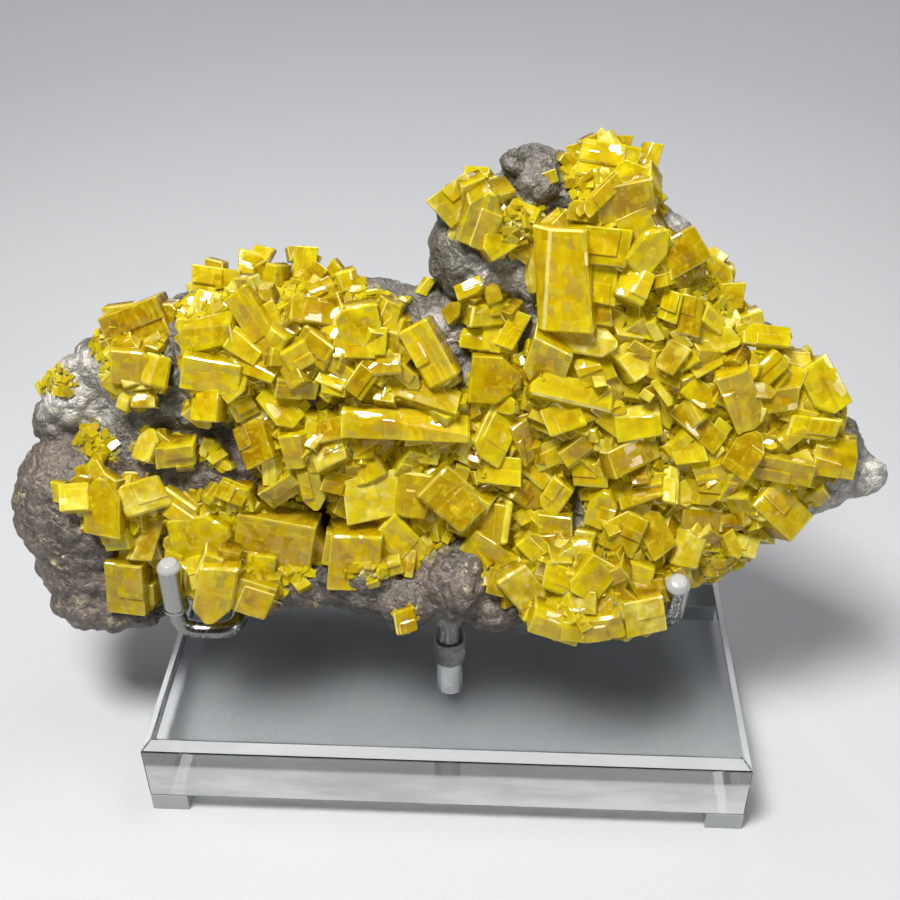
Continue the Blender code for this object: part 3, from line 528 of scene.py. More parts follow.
def rounded_path(corners, bend, steps):
    """The corners' path with each inner corner rounded off by an arc."""
    points = [corners[0]]
    for before, corner, after in zip(corners, corners[1:], corners[2:]):
        inward = (before - corner).normalized()
        outward = (after - corner).normalized()
        angle = inward.angle(outward)
        room = 0.45 * min((before - corner).length, (after - corner).length)
        back = min(bend / math.tan(angle / 2), room)
        start = corner + inward * back
        end = corner + outward * back
        for step in range(steps + 1):
            share = step / steps
            points.append(start.lerp(corner, share).lerp(corner.lerp(end, share), share))
    points.append(corners[-1])
    return points


def bar(name, corners, node):
    """A bent round bar with flat ends."""
    curve = bpy.data.curves.new(name, "CURVE")
    curve.dimensions = "3D"
    curve.bevel_depth = BAR_DIAMETER / 2
    curve.bevel_resolution = 6
    curve.use_fill_caps = True
    points = rounded_path([Vector(corner) + SHIFT for corner in corners], BAR_BEND, 10)
    spline = curve.splines.new("POLY")
    spline.points.add(len(points) - 1)
    for spot, point in zip(spline.points, points):
        spot.co = (*point, 1)
    shape = bpy.data.objects.new(name + "_path", curve)
    scene.collection.objects.link(shape)
    graph = bpy.context.evaluated_depsgraph_get()
    bm = bmesh.new()
    bm.from_mesh(shape.evaluated_get(graph).to_mesh())
    bpy.data.objects.remove(shape)
    bmesh.ops.remove_doubles(bm, verts=bm.verts[:], dist=0.00001)
    bmesh.ops.recalc_face_normals(bm, faces=bm.faces[:])
    for face in bm.faces:
        face.smooth = True
    return sharpened(piece(name, bm, (steel,), "polished_steel", node), 50)


HUB_MIDDLE = hub_low + HUB_HEIGHT / 2
HUB_EDGE = HUB_DIAMETER / 2 + GAP
right_knee = RIGHT_TIP - RIGHT_WAY * ((RIGHT_TIP.z - BAR_HEIGHT) / RIGHT_WAY.z)
rest_knee = REST_TIP - REST_WAY * ((REST_TIP.z - HUB_MIDDLE) / REST_WAY.z)
bar(
    "left_prong",
    (
        (-HUB_EDGE, POST_Y, HUB_MIDDLE),
        (-0.018, POST_Y + 0.002, BAR_HEIGHT),
        (-0.032, 0.010, BAR_HEIGHT),
        (-0.070, 0.010, BAR_HEIGHT),
        (-0.070, LEFT_TIP.y, BAR_HEIGHT),
        (LEFT_TIP.x, LEFT_TIP.y, BAR_HEIGHT),
        LEFT_TIP - LEFT_WAY * TIP_CAP,
    ),
    "left_arm",
)
bar(
    "right_prong",
    (
        (HUB_EDGE, POST_Y, HUB_MIDDLE),
        (0.018, POST_Y + 0.002, BAR_HEIGHT),
        (0.032, 0.010, BAR_HEIGHT),
        (right_knee.x, 0.010, BAR_HEIGHT),
        right_knee,
        RIGHT_TIP - RIGHT_WAY * TIP_CAP,
    ),
    "right_arm",
)
bar("rear_rest", ((0, POST_Y + HUB_EDGE, HUB_MIDDLE), rest_knee, REST_TIP - REST_WAY * TIP_CAP), "back_rest")


# Frosted plastic sleeves: short caps pushed over the three bar ends so that steel never
# scratches the rock, and an open collar round the foot of the post. The steel shows through the
# caps below their solid tips.

SLEEVE_LENGTH = 0.020
SLEEVE_END = 0.0016
SLEEVE_DIAMETER = 0.0078
COLLAR_WALL = 0.0008
PLUG = 0.0026
COLLAR_HEIGHT = 0.0095
COLLAR_EDGE = 0.0003
CAP_LIP = 0.0003

frosted, frosted_tree, frosted_shader = new_material("frosted_sleeve")
haze = frosted_tree.place().clouds(260.0)
feed(
    frosted_tree,
    frosted_shader,
    Base_Color=haze.mix(rgb(0.42, 0.42, 0.405), rgb(0.50, 0.50, 0.485)),
    Roughness=haze.between(0.3, 0.7, 0.22, 0.32),
    IOR=1.45,
    Transmission_Weight=0.3,
)
sleeved, sleeved_tree, sleeved_shader = new_material("sleeve_on_steel")
grain = sleeved_tree.place().stretched((900, 900, 90)).clouds(1.0, 3.0)
feed(
    sleeved_tree,
    sleeved_shader,
    Base_Color=grain.mix(rgb(0.27, 0.27, 0.255), rgb(0.40, 0.40, 0.38)),
    Metallic=1.0,
    Roughness=grain.between(0.3, 0.7, 0.2, 0.3),
    Coat_Weight=0.3,
)
bore_radius = BAR_DIAMETER / 2 + GAP
outer = SLEEVE_DIAMETER / 2
cap_profile = [
    (0, SLEEVE_LENGTH),
    (outer * 0.60, SLEEVE_LENGTH),
    (outer * 0.68, SLEEVE_LENGTH - 0.0002),
    (outer * 0.80, SLEEVE_LENGTH - 0.0012),
    (outer * 0.94, SLEEVE_LENGTH - 0.0016),
    (outer, SLEEVE_LENGTH - 0.0024),
    (outer, SLEEVE_LENGTH - PLUG),
    (outer, 0.0012),
    (outer + CAP_LIP, 0.0009),
    (outer + CAP_LIP, 0),
    (bore_radius, 0),
    (bore_radius, SLEEVE_LENGTH - SLEEVE_END),
    (0, SLEEVE_LENGTH - SLEEVE_END),
]
for sleeve_name, tip, way, node in (
    ("left_prong_cap", LEFT_TIP, LEFT_WAY, "left_arm_sleeve"),
    ("right_prong_cap", RIGHT_TIP, RIGHT_WAY, "right_arm_sleeve"),
    ("rear_rest_cap", REST_TIP, REST_WAY, "back_rest_sleeve"),
):
    seat_of_cap = Matrix.Translation(tip - way * SLEEVE_LENGTH + SHIFT)
    cap = turned_mesh(cap_profile, axis=seat_of_cap @ way.to_track_quat("Z", "Y").to_matrix().to_4x4())
    if node != "back_rest_sleeve":
        plug_start = tip + SHIFT - way * PLUG
        for face in cap.faces:
            face.material_index = 0 if (face.calc_center_median() - plug_start).dot(way) > 0 else 1
    sharpened(piece(sleeve_name, cap, (frosted, sleeved), "frosted_sleeve", node), 40)
collar_in = POST_DIAMETER / 2 + GAP
collar_out = collar_in + COLLAR_WALL
collar_low = BLOCK_TOP + GAP
collar_top = collar_low + COLLAR_HEIGHT
collar = turned_mesh(
    (
        (collar_out, collar_low),
        (collar_out, collar_top - COLLAR_EDGE),
        (collar_out - COLLAR_EDGE, collar_top),
        (collar_in, collar_top),
        (collar_in, collar_low),
    ),
    axis=on_post,
)
sharpened(piece("post_collar", collar, (frosted,), "frosted_sleeve", "post_sleeve"), 40)


# The matrix rock: one slab of grown-together botryoidal lumps that leans back on the stand. Its
# skin is satin grey-brown with fine glints painted as pale specks, browner on the left dome and
# the boss over the post, silvery lavender on the thin ledge at the right, with cream scale in the
# hollows. Shade is painted dark into its creases, along the seams of its knobs and in a few hollows.

LUMPS = (
    (-115, 42, -20, 24, 27, 22), (-114, 24, -20, 21, 18, 18), (-112, 7, -14, 20, 10, 12),
    (-114, 79, -20, 12, 11, 13), (-122, 71, -22, 9, 8, 10), (-103, 89, -22, 13, 11, 14),
    (-90, 86, -22, 22, 22, 18), (-70, 92, -22, 24, 22, 20), (-46, 96, -22, 26, 21, 20),
    (-22, 98, -22, 22, 20, 19), (-96, 60, -22, 22, 24, 18), (-70, 62, -24, 24, 28, 20),
    (-38, 70, -24, 28, 26, 20), (-44, 38, -38, 24, 22, 20), (-78, 34, -20, 22, 16, 16),
    (-78, 18, -8, 16, 10, 9), (-52, 16, -8, 26, 9, 9), (-26, 16, -6, 20, 10, 9), (-12, 11, -3, 13, 10, 10),
    (3, 18, -4, 14, 14, 12), (16, 10, -4, 13, 9, 10), (-18, 42, -26, 22, 20, 17), (6, 60, -22, 26, 28, 17),
    (-2, 86, -22, 22, 22, 17), (-2, 103, -25, 18, 13, 16), (8, 126, -21, 14, 16, 17),
    (11, 138, -22, 15, 11, 16), (26, 147, -22, 11, 10, 14), (18, 152, -14, 4, 4, 5),
    (27, 126, -24, 18, 19, 17), (44, 143, -22, 15, 13, 17), (54, 124, -22, 20, 18, 19),
    (22, 106, -26, 16, 14, 17), (36, 88, -22, 26, 26, 19), (63, 106, -22, 21, 20, 19),
    (82, 90, -22, 22, 20, 19), (60, 70, -22, 28, 28, 19), (88, 66, -22, 24, 26, 19),
    (105, 78, -20, 14, 17, 14), (116, 66, -16, 13, 12, 7), (124, 58, -15, 13, 8, 5),
    (112, 55, -16, 14, 10, 7), (30, 44, -23, 24, 24, 18), (56, 42, -22, 26, 22, 19),
    (46, 10, 2, 19, 12, 10), (60, 18, -5, 12, 11, 10), (40, 24, -6, 22, 14, 12), (80, 38, -18, 17, 15, 14),
    (98, 50, -20, 13, 9, 11),
)
BACK_LUMPS = (
    (-92, 66, -34, 28, 32, 16), (-56, 66, -40, 34, 34, 18), (-10, 70, -42, 34, 34, 18),
    (38, 74, -42, 32, 36, 18), (72, 68, -36, 28, 32, 16), (34, 116, -36, 22, 24, 14),
)
# Where each group of crystals grows, by the corners of its outline on the face.
OUTLINES = {
    "crystals_left_edge": ((-105, 96), (-101, 84), (-92, 79), (-84, 87), (-82, 108), (-97, 108)),
    "crystals_on_dome": (
        (-122, 50), (-112, 44), (-98, 40), (-97, 14), (-92, 14), (-90, 40), (-90, 54), (-112, 58),
    ),
    "crystals_on_ledge": ((-94, 62), (-77, 61), (-77, 69), (-94, 72)),
    "crystals_lower_left": ((-87, 46), (-85, 18), (-74, 10), (-58, 14), (-44, 24), (-46, 46), (-66, 55)),
    "crystal_in_saddle": ((-10, 103), (-4, 91), (2, 94), (-4, 106)),
    "crystals_centre": ((1, 109), (6, 101), (18, 100), (23, 108), (13, 118), (4, 117)),
    "crystals_on_peak": ((-1, 140), (8, 131), (24, 128), (33, 136), (22, 143), (8, 149)),
    "crystal_lower_edge": ((-16, 12), (-16, 7), (-10, 7), (-10, 12)),
    "crystals_main": (
        (-78, 110), (-79, 80), (-70, 76), (-62, 74), (-60, 62), (-54, 53), (-42, 49), (-36, 60), (-37, 24),
        (-22, 23), (-6, 32), (6, 40), (12, 28), (22, 14), (34, 4), (60, 5), (72, 18), (82, 24), (100, 38),
        (110, 50), (114, 60), (121, 72), (112, 92), (98, 103), (86, 112), (78, 124), (62, 136), (58, 152),
        (40, 158), (32, 152), (38, 142), (30, 132), (27, 112), (24, 98), (8, 98), (5, 88), (-8, 90),
        (-14, 100), (-12, 112), (-28, 122), (-50, 124), (-66, 120),
    ),
}

UNDERSIDE = 0.0616
UNDERSIDE_FRONT = -0.013
UNDERSIDE_HALF = 0.082
UNDERSIDE_ROOM = 0.0006
PIMPLES = 60
PIMPLE_SIZES = (3.5, 7.5)
PIMPLE_SUNK = 0.35
LOWEST_PIMPLE = 12
PIMPLE_SEED = 5
FACE = (
    Matrix.Translation(Vector((0, -0.020, 0.060)) + SHIFT)
    @ Matrix.Rotation(math.pi / 2 - LEAN, 4, "X")
    @ Matrix.Scale(MM, 4)
)
VIEWER = (18, 204, 357)
LUMP_SHEET = 0
CRYSTAL_SHEET = 10
ROCK_VOXEL = 0.00125
KNOB_SEED = 4


def on_sight_line(along, up, out, sheet):
    """Where a line from the viewer through a place on the sheet reaches this far out."""
    share = (VIEWER[2] - out) / (VIEWER[2] - sheet)
    return VIEWER[0] + (along - VIEWER[0]) * share, VIEWER[1] + (up - VIEWER[1]) * share


def as_seen(spot, sheet=CRYSTAL_SHEET):
    """The other way round: the place on the sheet that covers this one."""
    share = (VIEWER[2] - sheet) / (VIEWER[2] - spot.z)
    return VIEWER[0] + (spot.x - VIEWER[0]) * share, VIEWER[1] + (spot.y - VIEWER[1]) * share


def placed(rows):
    """The lumps at their true places and sizes."""
    for along, up, out, half_s, half_t, half_n in rows:
        share = (VIEWER[2] - out) / (VIEWER[2] - LUMP_SHEET)
        yield *on_sight_line(along, up, out, LUMP_SHEET), out, half_s * share, half_t * share, half_n


FRONT = tuple(placed(LUMPS))
BACK = tuple(placed(BACK_LUMPS))


def pimples():
    """Small round lumps half sunk in the main ones, always the same."""
    draw = random.Random(PIMPLE_SEED)
    for _ in range(PIMPLES):
        along, up, out, *halves = draw.choice(FRONT[:30] + BACK)
        way = Vector((draw.gauss(0, 1), draw.gauss(0, 1), draw.gauss(0, 1))).normalized()
        size = draw.uniform(*PIMPLE_SIZES)
        sunk = 1 - PIMPLE_SUNK * size / max(halves)
        centre = [c + w * h * sunk for c, w, h in zip((along, up, out), way, halves)]
        if centre[1] > LOWEST_PIMPLE:
            yield (*centre, size, size, size)


def rock_front(along, up):
    """How far out the main lumps stand at a place on the face, in millimetres."""
    front = -30.0
    for place_s, place_t, out, half_s, half_t, half_n in FRONT:
        inside = 1 - ((along - place_s) / half_s) ** 2 - ((up - place_t) / half_t) ** 2
        if inside > 0:
            front = max(front, out + half_n * math.sqrt(inside))
    return front


def seat(along, up, reach=5):
    """The rock's height where a crystal stands, evened over its neighbourhood."""
    steps = (-reach, 0, reach)
    return sum(rock_front(along + s, up + t) for s in steps for t in steps) / 9


def inside(outline, along, up):
    """How far inside an outline a place is, in millimetres; less than 0 outside it."""
    nearest = math.inf
    odd = False
    for (s1, t1), (s2, t2) in zip(outline, (*outline[1:], outline[0])):
        ds, dt = s2 - s1, t2 - t1
        run = max(0.0, min(1.0, ((along - s1) * ds + (up - t1) * dt) / (ds**2 + dt**2)))
        nearest = min(nearest, math.hypot(along - s1 - run * ds, up - t1 - run * dt))
        if (t1 > up) != (t2 > up) and along < ds * (up - t1) / dt + s1:
            odd = not odd
    return nearest if odd else -nearest


def soft(value, low, high):
    share = max(0.0, min(1.0, (value - low) / (high - low)))
    return share * share * (3 - 2 * share)


def in_patches(patches, along, up):
    """The strongest of some soft oval patches at a place: along, up and the two half-widths."""
    best = 0.0
    for middle_s, middle_t, half_s, half_t in patches:
        far = math.hypot((along - middle_s) / half_s, (up - middle_t) / half_t)
        best = max(best, 1 - soft(far, 0.75, 1.25))
    return best


# Oval patches: bare grey rock inside the crusted field, brown skin, silvery skin, druse on bare
# rock, and hollows painted dark as shade. Along, up and the two half-widths.
BARE = (
    (-36.5, 31, 3.5, 15), (-40, 85, 5, 6), (40, 49, 4, 10), (2, 63, 6, 3), (2, 102, 9, 15), (-64, 64, 5, 4),
    (-81, 92, 3, 14),
)
BROWN = ((-116, 38, 26, 34), (0, 16, 24, 16), (-62, 16, 30, 8), (-78, 60, 20, 10), (-118, 4, 22, 12))
SILVER = ((122, 60, 18, 18), (66, 136, 8, 18), (-2, 104, 6, 7), (16, 118, 9, 8), (-112, 84, 14, 14))
DRUSE = (
    (-107, 67, 6, 5), (25, 45, 5, 4), (-38, 89, 8, 8), (-119, 88, 6, 5), (-98, 14, 5, 4), (-70, 64, 6, 4),
)
SHADED_HOLLOWS = ((-38, 34, 6, 16), (-8, 60, 5, 4), (86, 44, 5, 6))

lumps = bmesh.new()
for along, up, out, *halves in (*FRONT, *BACK, *pimples()):
    place = FACE @ Matrix.Translation((along, up, out)) @ Matrix.Diagonal((*halves, 1))
    bmesh.ops.create_icosphere(lumps, subdivisions=4, radius=1, matrix=place)
rock_data = bpy.data.meshes.new("matrix_rock_skin")
lumps.to_mesh(rock_data)
lumps.free()
rock = bpy.data.objects.new("matrix_rock_skin", rock_data)
scene.collection.objects.link(rock)
fuse = rock.modifiers.new("Fuse", "REMESH")
fuse.mode = "VOXEL"
fuse.voxel_size = ROCK_VOXEL
soften = rock.modifiers.new("Soften", "SMOOTH")
soften.iterations = 2
baked(rock)


def domes(co, size, warp, seed):
    """Height of round lumps of about this size, 0 in the creases and 1 on top, unevenly laid."""
    bent = co + noise.noise_vector(co / warp + Vector((seed, 0, 0))) * size * 0.3
    gap = noise.voronoi(bent / size + Vector((0, 0, seed)))[0]
    roundness = math.sqrt(max(0.0, 1 - min(1.0, gap[0] * 1.15) ** 2))
    return roundness * (0.35 + 0.65 * min(1.0, (gap[1] - gap[0]) * 2.5))


noise.seed_set(KNOB_SEED)  # noise_vector takes its start from the clock otherwise
to_face = FACE.inverted()
points = rock.data.vertices
normals = [Vector(point.normal) for point in points]
paint = []
creases = []
spans = []
for outline in OUTLINES.values():
    wide, tall = ([corner[axis] for corner in outline] for axis in (0, 1))
    spans.append((min(wide) - 6, max(wide) + 6, min(tall) - 6, max(tall) + 6, outline))
for point, normal in zip(points, normals):
    spot = to_face @ point.co
    seen = as_seen(spot)
    facing = soft((to_face.to_3x3() @ normal).normalized().z, -0.15, 0.25)
    ragged = 3.0 * noise.noise(point.co * 160) + 1.5 * noise.noise(point.co * 420)
    crust = 0.0
    if facing > 0:
        for low_s, high_s, low_t, high_t, outline in spans:
            if low_s < seen[0] < high_s and low_t < seen[1] < high_t:
                crust = max(crust, soft(inside(outline, *seen) + ragged, -1.0, 1.5))
        crust = max(crust, in_patches(DRUSE, seen[0] + ragged, seen[1] - ragged))
        crust *= facing * (1 - in_patches(BARE, seen[0] + ragged, seen[1] - ragged))
    silvery = facing * in_patches(SILVER, *seen)
    hollow_shade_here = facing * in_patches(SHADED_HOLLOWS, *seen)
    paint.append((crust, in_patches(BROWN, *seen), silvery, hollow_shade_here))
    large = domes(point.co, 0.0080, 0.014, 3.0)
    small = domes(point.co, 0.0040, 0.006, 8.0)
    creases.append(large * 0.6 + small * 0.4)
    swell = 1.7 * large + 0.55 * small + 0.6 * noise.noise(point.co * 55) - 1.4
    swell = swell * (1 - 0.6 * crust) + crust * (0.7 + 0.9 * noise.noise(point.co * 500))
    point.co += normal * swell * MM


def clear_of_bar(co, tip, way, length, radius):
    """Moves a place sideways out of a round bar that ends at the tip."""
    run = (co - tip).dot(way)
    if -length < run < 0.001:
        side = co - tip - way * run
        if side.length < radius:
            co += side.normalized() * (radius - side.length)
    return co


ARM_ROOM = 0.0052
ARM_LENGTH = 0.032
HUB_ROOM = 0.010
low, high = cad_box
for point in points:
    co = point.co
    here = co - SHIFT
    if abs(here.x) < UNDERSIDE_HALF and here.y > UNDERSIDE_FRONT and here.z < UNDERSIDE + UNDERSIDE_ROOM:
        co.z = UNDERSIDE + UNDERSIDE_ROOM + 0.0003 * noise.noise(co * 300)
    if math.hypot(here.x, here.y - POST_Y) < HUB_ROOM and co.z < hub_top + GAP:
        co.z = hub_top + GAP
    for tip, way in ((LEFT_TIP, LEFT_WAY), (RIGHT_TIP, RIGHT_WAY), (REST_TIP, REST_WAY)):
        co = clear_of_bar(co, tip + SHIFT, way, ARM_LENGTH, ARM_ROOM)
    for axis in range(3):
        co[axis] = max(low[axis] + TIGHT, min(high[axis] - TIGHT, co[axis]))
    point.co = co
skin = rock.data.color_attributes.new("skin", "FLOAT_COLOR", "POINT")
skin.data.foreach_set("color", [value for row in paint for value in row])
for face in rock.data.polygons:
    face.use_smooth = True

# How high each point sits on its lumps, kept for the painted shade in the creases.
crease_shade_layer = rock.data.attributes.new("crease_shade", "FLOAT", "POINT")
crease_shade_layer.data.foreach_set("value", creases)

rock_finish, tree, shader = new_material("botryoidal_matrix")
here = tree.place()
crust = tree.node("SeparateColor", None, {0: tree.stored("skin")})
brown = crust.output(1)
silver = crust.output(2)
hollow_shade = tree.stored("skin", 3)
crease_shade = tree.stored("crease_shade", 2)
clouds = here.clouds(70.0, 5.0, 0.6)
speckle = here.clouds(750.0, 4.0, 0.7)
scale = here.clouds(210.0, 6.0, 0.75)
patchy = here.clouds(38.0, 3.0)
bends = here.clouds(240.0).output(1)
wavy = bends.added_to(here, 0.0045)
knobs, grains = (
    tree.node("TexVoronoi", {"feature": "DISTANCE_TO_EDGE"}, {"Vector": wavy, "Scale": fineness})
    for fineness in (185.0, 620.0)
)
painted_glint_cells = tree.node("TexVoronoi", None, {"Vector": here, "Scale": 600.0})
domed = knobs.between(0.0, 0.35) * 0.9 + grains.between(0.0, 0.35) * 0.22
# Painted glints: pale specks in the skin's colour.
glint = painted_glint_cells.between(0.0, 0.13, 1.0, 0.0)
cloudy = clouds.between(0.3, 0.7)
grey = cloudy.mix(rgb(0.034, 0.031, 0.025), rgb(0.128, 0.120, 0.094))
dark_brown = cloudy.mix(rgb(0.042, 0.032, 0.025), rgb(0.150, 0.121, 0.096))
lavender = cloudy.mix(rgb(0.20, 0.19, 0.172), rgb(0.66, 0.64, 0.59))
body = brown.mix(silver.mix(grey, lavender), dark_brown)
body = speckle.between(0.42, 0.72, 0.0, 0.3).mix(body, rgb(0.46, 0.41, 0.36))
# Painted shade: darker along the seams between the small knobs.
body = knobs.between(0.0, 0.10, 0.42, 0.0).mix(body, rgb(0.06, 0.046, 0.038))
# Painted shade: darker down in the creases between the lumps.
body = crease_shade.between(0.05, 0.5, 0.6, 0.0).mix(body, rgb(0.035, 0.026, 0.02))
cream_mask = scale.between(0.56, 0.62) * patchy.between(0.56, 0.66)
body = (cream_mask * 0.85).mix(body, rgb(0.62, 0.54, 0.28))
druse_tint = speckle.between(0.35, 0.65).mix(rgb(0.10, 0.082, 0.010), rgb(0.60, 0.52, 0.05))
body = (crust * scale.between(0.30, 0.55, 0.6, 1.0)).mix(body, druse_tint)
# Painted shade: the hollows made nearly black.
body = (hollow_shade * 0.85).mix(body, rgb(0.015, 0.011, 0.008))
feed(
    tree,
    shader,
    Base_Color=(glint * 0.6).mix(body, rgb(0.78, 0.75, 0.70)),
    Metallic=silver * (1 - crust) * 0.15,
    Roughness=speckle.between(0.35, 0.65, 0.30, 0.55) + brown * 0.06,
    Specular_IOR_Level=0.65,
    Normal=(domed * 0.9 + speckle * 0.6).bump(0.75, 0.0012),
)
rock.data.materials.append(rock_finish)
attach(rock, "root")
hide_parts("matrix_rock")


# The baryte crystals: thick tables and prisms with sharp flat faces, golden yellow to orange
# inside, with light through their thin rims painted on as paler rims, some ends frosted white,
# some sides striated; painted highlights run along edges, painted shade darkens them towards
# their feet and a faint painted glow lights them. Each is a book of parallel slabs, so its faces
# step; the groups grow together on the crust.

CRYSTAL_STAND = 0.2
FIRM_STAND = 0.4
BARYTE_IOR = 1.63
BARYTE_GLOW = 0.085
EDGE_GLINT_SEED = 21
